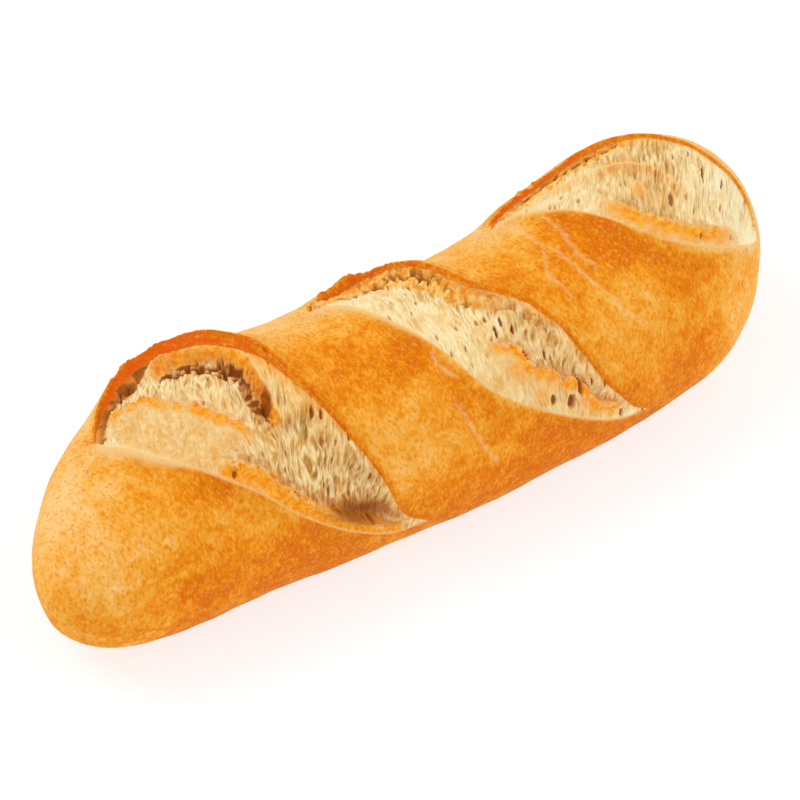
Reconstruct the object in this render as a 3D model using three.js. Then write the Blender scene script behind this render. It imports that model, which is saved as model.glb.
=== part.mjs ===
// A mini baguette: one baked loaf that lies on a flat underside, with three long slanting slashes over its
// top. Each slash opened in the oven into a shallow bed of torn crumb between two lips: a low lip on the near
// side, and on the far side a thin ear of crust that the bloom has lifted and that falls back to the crust
// behind it.
//
// Millimetres, +Z up. +X runs along the loaf to its blunt end, and +Y points away from the side where the
// slashes come down low. Angles go round a cross-section in degrees: 0 is the top, 90 the -Y side and 180
// below.
// The loaf is one closed skin of rings. Every ring goes once round the loaf and slants with the slashes,
// so that the lips of each slash are rings themselves.

import * as THREE from "three";

// Driving dimensions: the loaf without its slashes.
const LENGTH = 182;
const WIDEST_LINE = 19.7; // height of the widest line above the floor
const CROWN = 0.983; // height of the top above the widest line, as a share of the half-width
const UNDERCUT = 1; // how far the full lower half would reach below the floor, which flattens it
const LOWER_POWER = 2.8; // 2 would be an ellipse, more is squarer
const ROUND_BELOW = 0.15; // share of the full half-width where the lower half is an ellipse, at the tips
const SQUARE_FROM = 0.6; // share of the full half-width from which it has its full LOWER_POWER
const NEAR_CAP = 62; // length of the long rounded end at -X
const NEAR_CAP_POWER = 2.24;
const FAR_CAP = 35.5; // length of the blunt rounded end at +X
const FAR_CAP_POWER = 1.9;
const LOWER_TAPER = 0.6; // how slowly the underside lifts off the floor at the ends
const HALF_WIDTHS = [28, 26.7, 25.8, 25.8, 24, 26.1, 28.2, 29.7]; // evenly spread from end to end
const SIDE_SWAY = [-9.7, 0, 9.3, 0, -7.1, -7.1, 0, 7.8]; // how far the middle line strays towards +Y

// Driving dimensions: the slashes. The lips are given at a few angles round the loaf, as places along X.
// ear is the height of the crest of the far lip there, and lip that of the near lip, which at the back of the
// loaf rises to meet the ear.
const SLASHES = [
  {
    angles: [-46, -37, -20, 5, 30, 50, 70, 90, 104],
    near: [-50, -62.5, -67.5, -64.5, -58, -51.5, -44, -34, -17.5],
    far: [-45, -40, -33.5, -31.5, -29.7, -27.5, -24.7, -20, -13],
    ear: [4, 4.6, 4.2, 3.2, 2.4, 1.8, 1.4, 0.8, 0.2],
    lip: [7, 3.6, 0.8, 0.8, 0.8, 0.8, 0.8, 0.8, 0.8],
  },
  {
    angles: [-48, -38, -20, 5, 30, 50, 70, 90, 104],
    near: [-6, -14, -11, -7.5, -4.2, 2, 11, 25, 37],
    far: [1, 7.5, 10.5, 12.3, 19, 22.4, 26.6, 32, 42],
    ear: [3, 3.8, 3, 2, 1.6, 1.3, 1, 0.6, 0.2],
    lip: [5, 2, 0.8, 0.8, 0.8, 0.8, 0.8, 0.8, 0.8],
  },
  {
    angles: [-44, -33, -20, 0, 20, 40, 55, 68],
    near: [40, 34.5, 45, 49.3, 53.4, 60.7, 68.5, 75.5],
    far: [46, 56, 68, 75.5, 77.5, 78.7, 79, 80.5],
    ear: [2.2, 2.4, 2.2, 1.6, 1.2, 0.8, 0.5, 0.2],
    lip: [3, 1, 0.8, 0.8, 0.8, 0.8, 0.8, 0.8],
  },
];
const LEAST_OPENING = 4; // along X, where the two lips of a slash run out beside each other
const EAR_SPREAD = 11; // how far behind its crest an ear has fallen back to the crust
const NEAR_LIP_SPREAD = 6;
// The bed of a slash from its near lip, 0, to its far lip, 1, with the torn step just under the ear.
const BED_ACROSS = [0, 0.06, 0.25, 0.45, 0.62, 0.74, 0.8, 0.9, 1];
const BED_HEIGHTS = [0, -1.6, -1.5, -1.9, -2.6, -3.4, -1.6, -0.8, 0];
const EAR_STARTS = 0.74; // share of the way across where the bed begins to climb to the ear

// How finely the skin is divided.
const FINE_FROM = -60;
const FINE_TO = 112;
const FINE_STEPS = 40;
const COARSE_STEPS = 18;
const NEAR_CAP_RINGS = 14;
const BED_RINGS = 14;
const PANEL_RINGS = 7;
const FAR_CAP_RINGS = 8;

const HALF = LENGTH / 2;
const clamp01 = (value) => Math.min(1, Math.max(0, value));
const radians = THREE.MathUtils.degToRad;

// A smooth curve that runs close by evenly spread values, at a place from 0 to 1 (a uniform cubic B-spline).
function blended(values, place) {
  const spans = values.length - 3;
  const span = Math.min(Math.floor(place * spans), spans - 1);
  const u = place * spans - span;
  const weights = [(1 - u) ** 3, 3 * u ** 3 - 6 * u ** 2 + 4, 3 * u * (1 + u - u ** 2) + 1, u ** 3];
  return weights.reduce((sum, weight, i) => sum + (weight * values[span + i]) / 6, 0);
}

// A smooth curve through the given places and values (cubic pieces that share their slopes).
function through(places, values, place) {
  const last = places.length - 1;
  const slope = (i) => {
    const low = Math.max(i - 1, 0);
    const high = Math.min(i + 1, last);
    return (values[high] - values[low]) / (places[high] - places[low]);
  };
  const above = places.findIndex((p) => p > place);
  const i = above < 0 ? last - 1 : Math.max(above - 1, 0);
  const width = places[i + 1] - places[i];
  const u = clamp01((place - places[i]) / width);
  const rise = u * u * (3 - 2 * u);
  const start = u * (1 - u) ** 2 * width * slope(i);
  const end = u * u * (u - 1) * width * slope(i + 1);
  return values[i] + (values[i + 1] - values[i]) * rise + start + end;
}

// The loaf before it was slashed: a point of its skin at a place along X and an angle round the section.
// The upper half is an ellipse. The lower half is squarer, except at the tips, and the floor cuts it flat.
function plainPoint(x, angle) {
  const place = clamp01((x + HALF) / LENGTH);
  const nearEnd = clamp01((NEAR_CAP - HALF - x) / NEAR_CAP);
  const farEnd = clamp01((x + FAR_CAP - HALF) / FAR_CAP);
  const taper = Math.sqrt((1 - nearEnd ** NEAR_CAP_POWER) * (1 - farEnd ** FAR_CAP_POWER));
  const halfWidth = taper * blended(HALF_WIDTHS, place);
  const out = -Math.sin(radians(angle));
  const up = Math.cos(radians(angle));
  const middle = blended(SIDE_SWAY, place);
  if (up > 0) {
    return new THREE.Vector3(x, middle + halfWidth * out, WIDEST_LINE + CROWN * halfWidth * up);
  }
  const squareness = THREE.MathUtils.smoothstep(taper, ROUND_BELOW, SQUARE_FROM);
  const power = THREE.MathUtils.lerp(2, LOWER_POWER, squareness);
  const across = Math.sign(out) * Math.abs(out) ** (2 / power);
  const down = (WIDEST_LINE + UNDERCUT) * taper ** LOWER_TAPER * Math.abs(up) ** (2 / power);
  return new THREE.Vector3(x, middle + halfWidth * across, Math.max(0, WIDEST_LINE - down));
}

// The same point pushed out, or in, along the skin's own direction.
function skinPoint(x, angle, lift) {
  const point = plainPoint(x, angle);
  if (Math.abs(lift) < 1e-6) {
    return point;
  }
  const step = 0.5;
  const along = plainPoint(x + step, angle).sub(plainPoint(x - step, angle));
  const round = plainPoint(x, angle - step).sub(plainPoint(x, angle + step));
  return point.addScaledVector(along.cross(round).normalize(), lift);
}

// Where a lip lies along X at any angle. Between its two tips, round the underside, it runs straight back.
function lipPlace(slash, places, angle) {
  const first = slash.angles[0];
  const last = slash.angles[slash.angles.length - 1];
  const turned = angle < first ? angle + 360 : angle;
  if (turned <= last) {
    return through(slash.angles, places, turned);
  }
  const back = (turned - last) / (first + 360 - last);
  return THREE.MathUtils.lerp(places[places.length - 1], places[0], back);
}

const nearPlace = (slash, angle) => lipPlace(slash, slash.near, angle);

function farPlace(slash, angle) {
  return Math.max(lipPlace(slash, slash.far, angle), nearPlace(slash, angle) + LEAST_OPENING);
}

// 0 at and beyond the tips of a slash, 1 along its middle.
function openness(slash, angle) {
  const first = slash.angles[0];
  const last = slash.angles[slash.angles.length - 1];
  const along = clamp01((angle - first) / (last - first));
  return Math.min(1, 1.6 * Math.sqrt(Math.sin(Math.PI * along)));
}

const earHeight = (slash, angle) => openness(slash, angle) * through(slash.angles, slash.ear, angle);
const nearLipHeight = (slash, angle) => openness(slash, angle) * through(slash.angles, slash.lip, angle);
const fallOff = (distance, spread) => clamp01(1 - distance / spread) ** 2;

// The rings of one slash, lips included.
function bedRings(slash) {
  const rings = [];
  for (let i = 0; i <= BED_RINGS; i += 1) {
    const across = i / BED_RINGS;
    const climb = clamp01((across - EAR_STARTS) / (1 - EAR_STARTS)) ** 1.5;
    rings.push({
      place: (angle) => THREE.MathUtils.lerp(nearPlace(slash, angle), farPlace(slash, angle), across),
      lift: (angle) =>
        openness(slash, angle) * through(BED_ACROSS, BED_HEIGHTS, across) +
        nearLipHeight(slash, angle) * fallOff(across, 0.15) +
        earHeight(slash, angle) * climb,
    });
  }
  return rings;
}

const innerShares = (count) => Array.from({ length: count }, (_, i) => (i + 1) / (count + 1));
// Rings crowd together towards a tip, where the loaf closes.
const towardsTip = (share) => 1 - Math.cos((Math.PI / 2) * share);
// How high the back of an ear, and the foot of a near lip, still stand at a distance from the lip.
const earBack = (slash, angle, distance) => earHeight(slash, angle) * fallOff(distance, EAR_SPREAD);
const lipFoot = (slash, angle, distance) => nearLipHeight(slash, angle) * fallOff(distance, NEAR_LIP_SPREAD);

// The rings of crust from the tip at -X to the first slash.
function nearCapRings(slash) {
  return innerShares(NEAR_CAP_RINGS).map((share) => {
    const place = (angle) => THREE.MathUtils.lerp(-HALF, nearPlace(slash, angle), towardsTip(share));
    return { place, lift: (angle) => lipFoot(slash, angle, nearPlace(slash, angle) - place(angle)) };
  });
}

// The rings of crust between two slashes.
function panelRings(behind, ahead) {
  return innerShares(PANEL_RINGS).map((share) => {
    const place = (angle) => THREE.MathUtils.lerp(farPlace(behind, angle), nearPlace(ahead, angle), share);
    const back = (angle) => earBack(behind, angle, place(angle) - farPlace(behind, angle));
    const foot = (angle) => lipFoot(ahead, angle, nearPlace(ahead, angle) - place(angle));
    return { place, lift: (angle) => back(angle) + foot(angle) };
  });
}

// The rings of crust from the last slash to the tip at +X.
function farCapRings(slash) {
  return innerShares(FAR_CAP_RINGS).map((share) => {
    const place = (angle) => THREE.MathUtils.lerp(HALF, farPlace(slash, angle), towardsTip(1 - share));
    return { place, lift: (angle) => earBack(slash, angle, place(angle) - farPlace(slash, angle)) };
  });
}

const [nearSlash, middleSlash, farSlash] = SLASHES;
const rings = [
  ...nearCapRings(nearSlash),
  ...bedRings(nearSlash),
  ...panelRings(nearSlash, middleSlash),
  ...bedRings(middleSlash),
  ...panelRings(middleSlash, farSlash),
  ...bedRings(farSlash),
  ...farCapRings(farSlash),
];

// The angles of a ring's points: fine over the slashes, coarser round the back and the underside.
const angles = [];
for (let i = 0; i < FINE_STEPS; i += 1) {
  angles.push(FINE_FROM + ((FINE_TO - FINE_FROM) * i) / FINE_STEPS);
}
for (let i = 0; i < COARSE_STEPS; i += 1) {
  angles.push(FINE_TO + ((FINE_FROM + 360 - FINE_TO) * i) / COARSE_STEPS);
}

// The closed skin: the tip at -X, the rings in order, and the tip at +X, joined by triangles that face out.
function loafGeometry() {
  const points = [plainPoint(-HALF, 0)];
  for (const ring of rings) {
    for (const angle of angles) {
      const turned = angle > 180 ? angle - 360 : angle;
      points.push(skinPoint(ring.place(turned), turned, ring.lift(turned)));
    }
  }
  points.push(plainPoint(HALF, 0));

  const count = angles.length;
  const index = [];
  const at = (ring, i) => 1 + ring * count + (i % count);
  for (let i = 0; i < count; i += 1) {
    index.push(0, at(0, i + 1), at(0, i));
    for (let ring = 0; ring < rings.length - 1; ring += 1) {
      index.push(at(ring, i), at(ring, i + 1), at(ring + 1, i));
      index.push(at(ring, i + 1), at(ring + 1, i + 1), at(ring + 1, i));
    }
    index.push(at(rings.length - 1, i), at(rings.length - 1, i + 1), points.length - 1);
  }

  const geometry = new THREE.BufferGeometry().setFromPoints(points);
  geometry.setIndex(index);
  // The origin is the middle of the underside.
  geometry.computeBoundingBox();
  const box = geometry.boundingBox;
  const centre = box.getCenter(new THREE.Vector3());
  geometry.translate(-centre.x, -centre.y, -box.min.z);
  geometry.computeVertexNormals();
  return geometry;
}

const goldenCrust = new THREE.MeshStandardMaterial({ color: "#e19a3e", roughness: 0.62, metalness: 0 });
const loaf = new THREE.Mesh(loafGeometry(), goldenCrust);
loaf.name = "loaf";

const baguette = new THREE.Group();
baguette.add(loaf);

export default baguette;
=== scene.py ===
"""The looks of one mini baguette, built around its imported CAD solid.

The crust is the plain loaf form of the CAD, raised into ears behind the slashes, in three closed pieces.
Over each slash lies a finer skin of its own, in one or two closed pieces, with the torn crumb, the lips,
the ear and a strip of the crust round them. Every skin is the same loaf form plus one relief, worked out
with numpy on a grid, so they meet without a step. Lengths are millimetres and angles are degrees in the
shape functions; meshes are in metres.

x runs along the loaf. An angle goes round its section: 0 is the top, 90 the side that the slashes come
down. The unrolled skin is the plane (x, v), where v is the length of skin from the top line, in
millimetres.
"""

import bpy
import numpy as np
from mathutils import Matrix, Vector


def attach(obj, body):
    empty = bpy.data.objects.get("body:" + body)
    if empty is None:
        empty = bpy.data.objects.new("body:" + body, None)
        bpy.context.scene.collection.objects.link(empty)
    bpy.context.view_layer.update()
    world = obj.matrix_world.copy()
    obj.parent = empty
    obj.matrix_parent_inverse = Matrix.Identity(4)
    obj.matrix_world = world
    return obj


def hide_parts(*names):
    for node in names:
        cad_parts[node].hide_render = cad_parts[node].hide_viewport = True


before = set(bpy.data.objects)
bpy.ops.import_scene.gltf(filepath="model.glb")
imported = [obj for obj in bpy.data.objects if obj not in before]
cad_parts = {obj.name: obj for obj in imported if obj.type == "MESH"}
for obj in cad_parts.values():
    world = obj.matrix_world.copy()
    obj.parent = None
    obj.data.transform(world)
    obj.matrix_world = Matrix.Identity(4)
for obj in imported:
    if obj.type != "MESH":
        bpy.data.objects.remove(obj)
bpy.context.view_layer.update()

MM = 0.001

# ---------------------------------------------------------------- the plain loaf, as the CAD has it
LENGTH = 182.0
HALF = LENGTH / 2
WIDEST_LINE = 19.7
CROWN = 0.983
UNDERCUT = 1.0
LOWER_POWER = 2.8
ROUND_BELOW = 0.15
SQUARE_FROM = 0.6
NEAR_CAP = 62.0
NEAR_CAP_POWER = 2.24
FAR_CAP = 35.5
FAR_CAP_POWER = 1.9
LOWER_TAPER = 0.6
HALF_WIDTHS = (28, 26.7, 25.8, 25.8, 24, 26.1, 28.2, 29.7)
SIDE_SWAY = (-9.7, 0, 9.3, 0, -7.1, -7.1, 0, 7.8)
USUAL_HALF_WIDTH = 25.5  # the section whose skin length v is measured on
SLOPE_STEP = 0.3  # the skin's slopes are measured over this many mm to each side along the loaf
SLOPE_TURN = 0.5  # and this many degrees round it
TINY = 1e-6


def share(value, low, high):
    """How far value has come from low to high, from 0 to 1."""
    return np.clip((value - low) / (high - low), 0, 1)


def eased(value, low, high):
    """The same with flat ends: 3t^2 - 2t^3."""
    t = share(value, low, high)
    return t * t * (3 - 2 * t)


def mixed(amount, first, second):
    """first, carried towards second by amount."""
    return first + (second - first) * amount


def bell(value, middle, width):
    """1 at the middle, falling off to both sides as exp(-t^2), where t is the distance over the width."""
    return np.exp(-(((value - middle) / width) ** 2))


def dome(t):
    """A half circle, sqrt(1 - t^2), and 0 beyond it."""
    return np.sqrt(np.clip(1 - t**2, 0, 1))


def blended(values, place):
    """A smooth curve close by evenly spread values, at places from 0 to 1: a uniform cubic B-spline."""
    values = np.asarray(values, float)
    spans = len(values) - 3
    span = np.clip(np.floor(place * spans), 0, spans - 1).astype(int)
    u = place * spans - span
    weights = ((1 - u) ** 3, 3 * u**3 - 6 * u**2 + 4, 3 * u * (1 + u - u**2) + 1, u**3)
    return sum(weight * values[span + i] for i, weight in enumerate(weights)) / 6


def section(angle, half_width, taper, power):
    """y and z round one section. The upper half is an ellipse: y is the half-width times minus the sine, z
    the half-width times the cosine. The lower half is squarer, |sine|^(2/power) and |cosine|^(2/power), and
    is cut flat at the floor."""
    out, up = -np.sin(np.radians(angle)), np.cos(np.radians(angle))
    across = np.where(up > 0, out, np.sign(out) * np.abs(out) ** (2 / power))
    down = (WIDEST_LINE + UNDERCUT) * taper**LOWER_TAPER * np.abs(up) ** (2 / power)
    z = np.where(up > 0, WIDEST_LINE + CROWN * half_width * up, np.maximum(0, WIDEST_LINE - down))
    return half_width * across, z


def plain_skin(x, angle):
    """Points of the unslashed loaf. The half-width of its sections falls off to each end as sqrt(1 -
    t^power), and close to the tips their lower half is an ellipse too."""
    x, angle = np.broadcast_arrays(np.clip(x, -HALF, HALF), angle)
    place = (x + HALF) / LENGTH
    near_end = share(NEAR_CAP - HALF - x, 0, NEAR_CAP)
    far_end = share(x + FAR_CAP - HALF, 0, FAR_CAP)
    taper = np.sqrt((1 - near_end**NEAR_CAP_POWER) * (1 - far_end**FAR_CAP_POWER))
    half_width = taper * blended(HALF_WIDTHS, place)
    power = 2 + (LOWER_POWER - 2) * eased(taper, ROUND_BELOW, SQUARE_FROM)
    y, z = section(angle, half_width, taper, power)
    return np.stack([x, blended(SIDE_SWAY, place) + y, z], -1)


def outward(x, angle):
    """The skin's unit normals: the cross product of the steps along and round the loaf."""
    lengthways = plain_skin(x + SLOPE_STEP, angle) - plain_skin(x - SLOPE_STEP, angle)
    round_it = plain_skin(x, angle - SLOPE_TURN) - plain_skin(x, angle + SLOPE_TURN)
    normal = np.cross(lengthways, round_it)
    size = np.linalg.norm(normal, axis=-1, keepdims=True)
    return np.where(size > TINY, normal / np.maximum(size, TINY), np.sign(x)[..., None] * [1.0, 0, 0])


def skin_lengths():
    """Angles from -180 to 180 and the length of skin from the top to each, summed round a usual section."""
    angles = np.linspace(-180, 180, 7201)
    y, z = section(angles, USUAL_HALF_WIDTH, 1.0, LOWER_POWER)
    lengths = np.concatenate([[0], np.cumsum(np.hypot(np.diff(y), np.diff(z)))])
    return angles, lengths - np.interp(0, angles, lengths)


ANGLES, SKIN_LENGTHS = skin_lengths()


def unrolled(angle):
    """The skin length v at an angle."""
    return np.interp(angle, ANGLES, SKIN_LENGTHS)


def rolled(v):
    """The angle at a skin length v."""
    return np.interp(v, SKIN_LENGTHS, ANGLES)


# ---------------------------------------------------------------- noise
def lattice(cells, seed):
    """A steady pseudo-random number from 0 to 1 for each cell: whole coordinates times large odd numbers,
    added and scrambled in 32 bits."""
    n = np.full(cells.shape[:-1], seed * 374761393, np.int64)
    for axis, step in zip(range(cells.shape[-1]), (668265263, 974634777, 1103515245)):
        n = n + cells[..., axis] * step
    n = n & 0xFFFFFFFF
    n = ((n ^ (n >> 15)) * 739982445) & 0xFFFFFFFF
    n = ((n ^ (n >> 12)) * 695872825) & 0xFFFFFFFF
    return (n ^ (n >> 15)) / 0xFFFFFFFF


def swell(places, seed):
    """Smooth noise from about -1 to 1, in 2 or 3 dimensions: every cell corner has a random slope, and the
    slopes' heights are blended inside the cell with 6t^5 - 15t^4 + 10t^3."""
    cells = np.floor(places).astype(np.int64)
    part = places - cells
    ease = part**3 * (part * (part * 6 - 15) + 10)
    total = 0
    for corner in np.ndindex(*(2,) * places.shape[-1]):
        at = cells + np.array(corner)
        slopes = [2 * lattice(at, seed + 31 * k) - 1 for k in range(len(corner))]
        height = sum((part[..., k] - corner[k]) * slope for k, slope in enumerate(slopes))
        weight = np.prod([ease[..., k] if c else 1 - ease[..., k] for k, c in enumerate(corner)], axis=0)
        total = total + height * weight
    return 1.7 * total


def flat(*parts):
    """Coordinates as one array, with a place's coordinates side by side."""
    return np.stack(np.broadcast_arrays(*parts), -1)


def ripple(x, v, size, seed):
    """Smooth noise on the unrolled skin. size is its width in mm, or its widths along and round the loaf."""
    along_x, along_v = np.broadcast_to(size, 2)
    return swell(flat(x / along_x, v / along_v), seed)


def ragged(x, v, amount, seed):
    """Points moved by noise 1.8 mm and 0.7 mm wide, which makes a line drawn on them ragged."""
    moved = []
    for k, value in enumerate((x, v)):
        push = ripple(x, v, 1.8, seed + 2 * k) + 0.5 * ripple(x, v, 0.7, seed + 2 * k + 1)
        moved.append(value + amount * push)
    return moved


def cell_spots(px, py, seed, fill):
    """Each of the nine unit cells round every point has one random spot, in the middle square of the cell
    that is fill wide. Gives the distance from the spot, and the cell."""
    for dx, dy in np.ndindex(3, 3):
        cell_x, cell_y = np.floor(px) + dx - 1, np.floor(py) + dy - 1
        cell = flat(cell_x, cell_y).astype(np.int64)
        spot_x = cell_x + 0.5 + fill * (lattice(cell, seed) - 0.5)
        spot_y = cell_y + 0.5 + fill * (lattice(cell, seed + 7) - 0.5)
        yield np.hypot(px - spot_x, py - spot_y), cell


def spots(px, py, seed, fill=1.0):
    """Distance from the nearest spot, and that spot's own random number."""
    best = np.full(np.shape(px), 9.0)
    own = np.zeros(np.shape(px))
    for gap, cell in cell_spots(px, py, seed, fill):
        own = np.where(gap < best, lattice(cell, seed + 13), own)
        best = np.minimum(best, gap)
    return best, own


def webs(px, py, seed):
    """Distance from the walls between cells grown round the spots: how much farther the second nearest spot
    is than the nearest."""
    first, second = np.full(np.shape(px), 9.0), np.full(np.shape(px), 9.0)
    for gap, _ in cell_spots(px, py, seed, 0.8):
        second = np.minimum(second, np.maximum(first, gap))
        first = np.minimum(first, gap)
    return second - first


# ---------------------------------------------------------------- lines on the unrolled skin
def smooth_line(points, steps=6):
    """A smooth line through the points (Catmull-Rom): each piece is a cubic whose end slopes are half the
    step between the neighbouring points."""
    points = np.asarray(points, float)
    padded = np.vstack([2 * points[0] - points[1], points, 2 * points[-1] - points[-2]])
    t = np.linspace(0, 1, steps, endpoint=False)[:, None]
    pieces = [
        0.5 * (2 * b + (c - a) * t + (2 * a - 5 * b + 4 * c - d) * t**2 + (3 * b - a - 3 * c + d) * t**3)
        for a, b, c, d in zip(padded, padded[1:], padded[2:], padded[3:])
    ]
    return np.vstack(pieces + [points[-1:]])


def lengths(line):
    """The length of a line up to each of its points."""
    return np.concatenate([[0], np.cumsum(np.hypot(*np.diff(line[:, :2], axis=0).T))])


def beside(line, x, v):
    """For points of the unrolled skin: the distance from a line, the share of its length where the nearest
    place is, and the line's third value there. The distance is positive to the right of the line's run, as
    seen with x to the right and v up."""
    run = lengths(line)
    best = np.full(np.shape(x), 1e9)
    where = np.zeros(np.shape(x))
    side = np.ones(np.shape(x))
    for i in range(len(line) - 1):
        (x0, v0), (x1, v1) = line[i, :2], line[i + 1, :2]
        dx, dv = x1 - x0, v1 - v0
        t = np.clip(((x - x0) * dx + (v - v0) * dv) / (dx * dx + dv * dv), 0, 1)
        gap = (x - x0 - t * dx) ** 2 + (v - v0 - t * dv) ** 2
        closer = gap < best
        best = np.where(closer, gap, best)
        where = np.where(closer, run[i] + t * (run[i + 1] - run[i]), where)
        side = np.where(closer, np.sign((x - x0) * dv - (v - v0) * dx), side)
    value = np.interp(where, run, line[:, 2]) if line.shape[1] > 2 else 0
    return side * np.sqrt(best), where / run[-1], value


def within(line, x, v, reach):
    """Which points lie in the line's bounding box, widened by reach."""
    low, high = line[:, :2].min(0) - reach, line[:, :2].max(0) + reach
    return (x > low[0]) & (x < high[0]) & (v > low[1]) & (v < high[1])


def along(table, s):
    """A value that changes along a slash: (share, value) pairs joined by eased steps."""
    places, values = (np.array(column, float) for column in zip(*table))
    i = np.clip(np.searchsorted(places, s, side="right") - 1, 0, len(places) - 2)
    step = eased((s - places[i]) / (places[i + 1] - places[i]), 0, 1)
    return mixed(step, values[i], values[i + 1])


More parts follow.
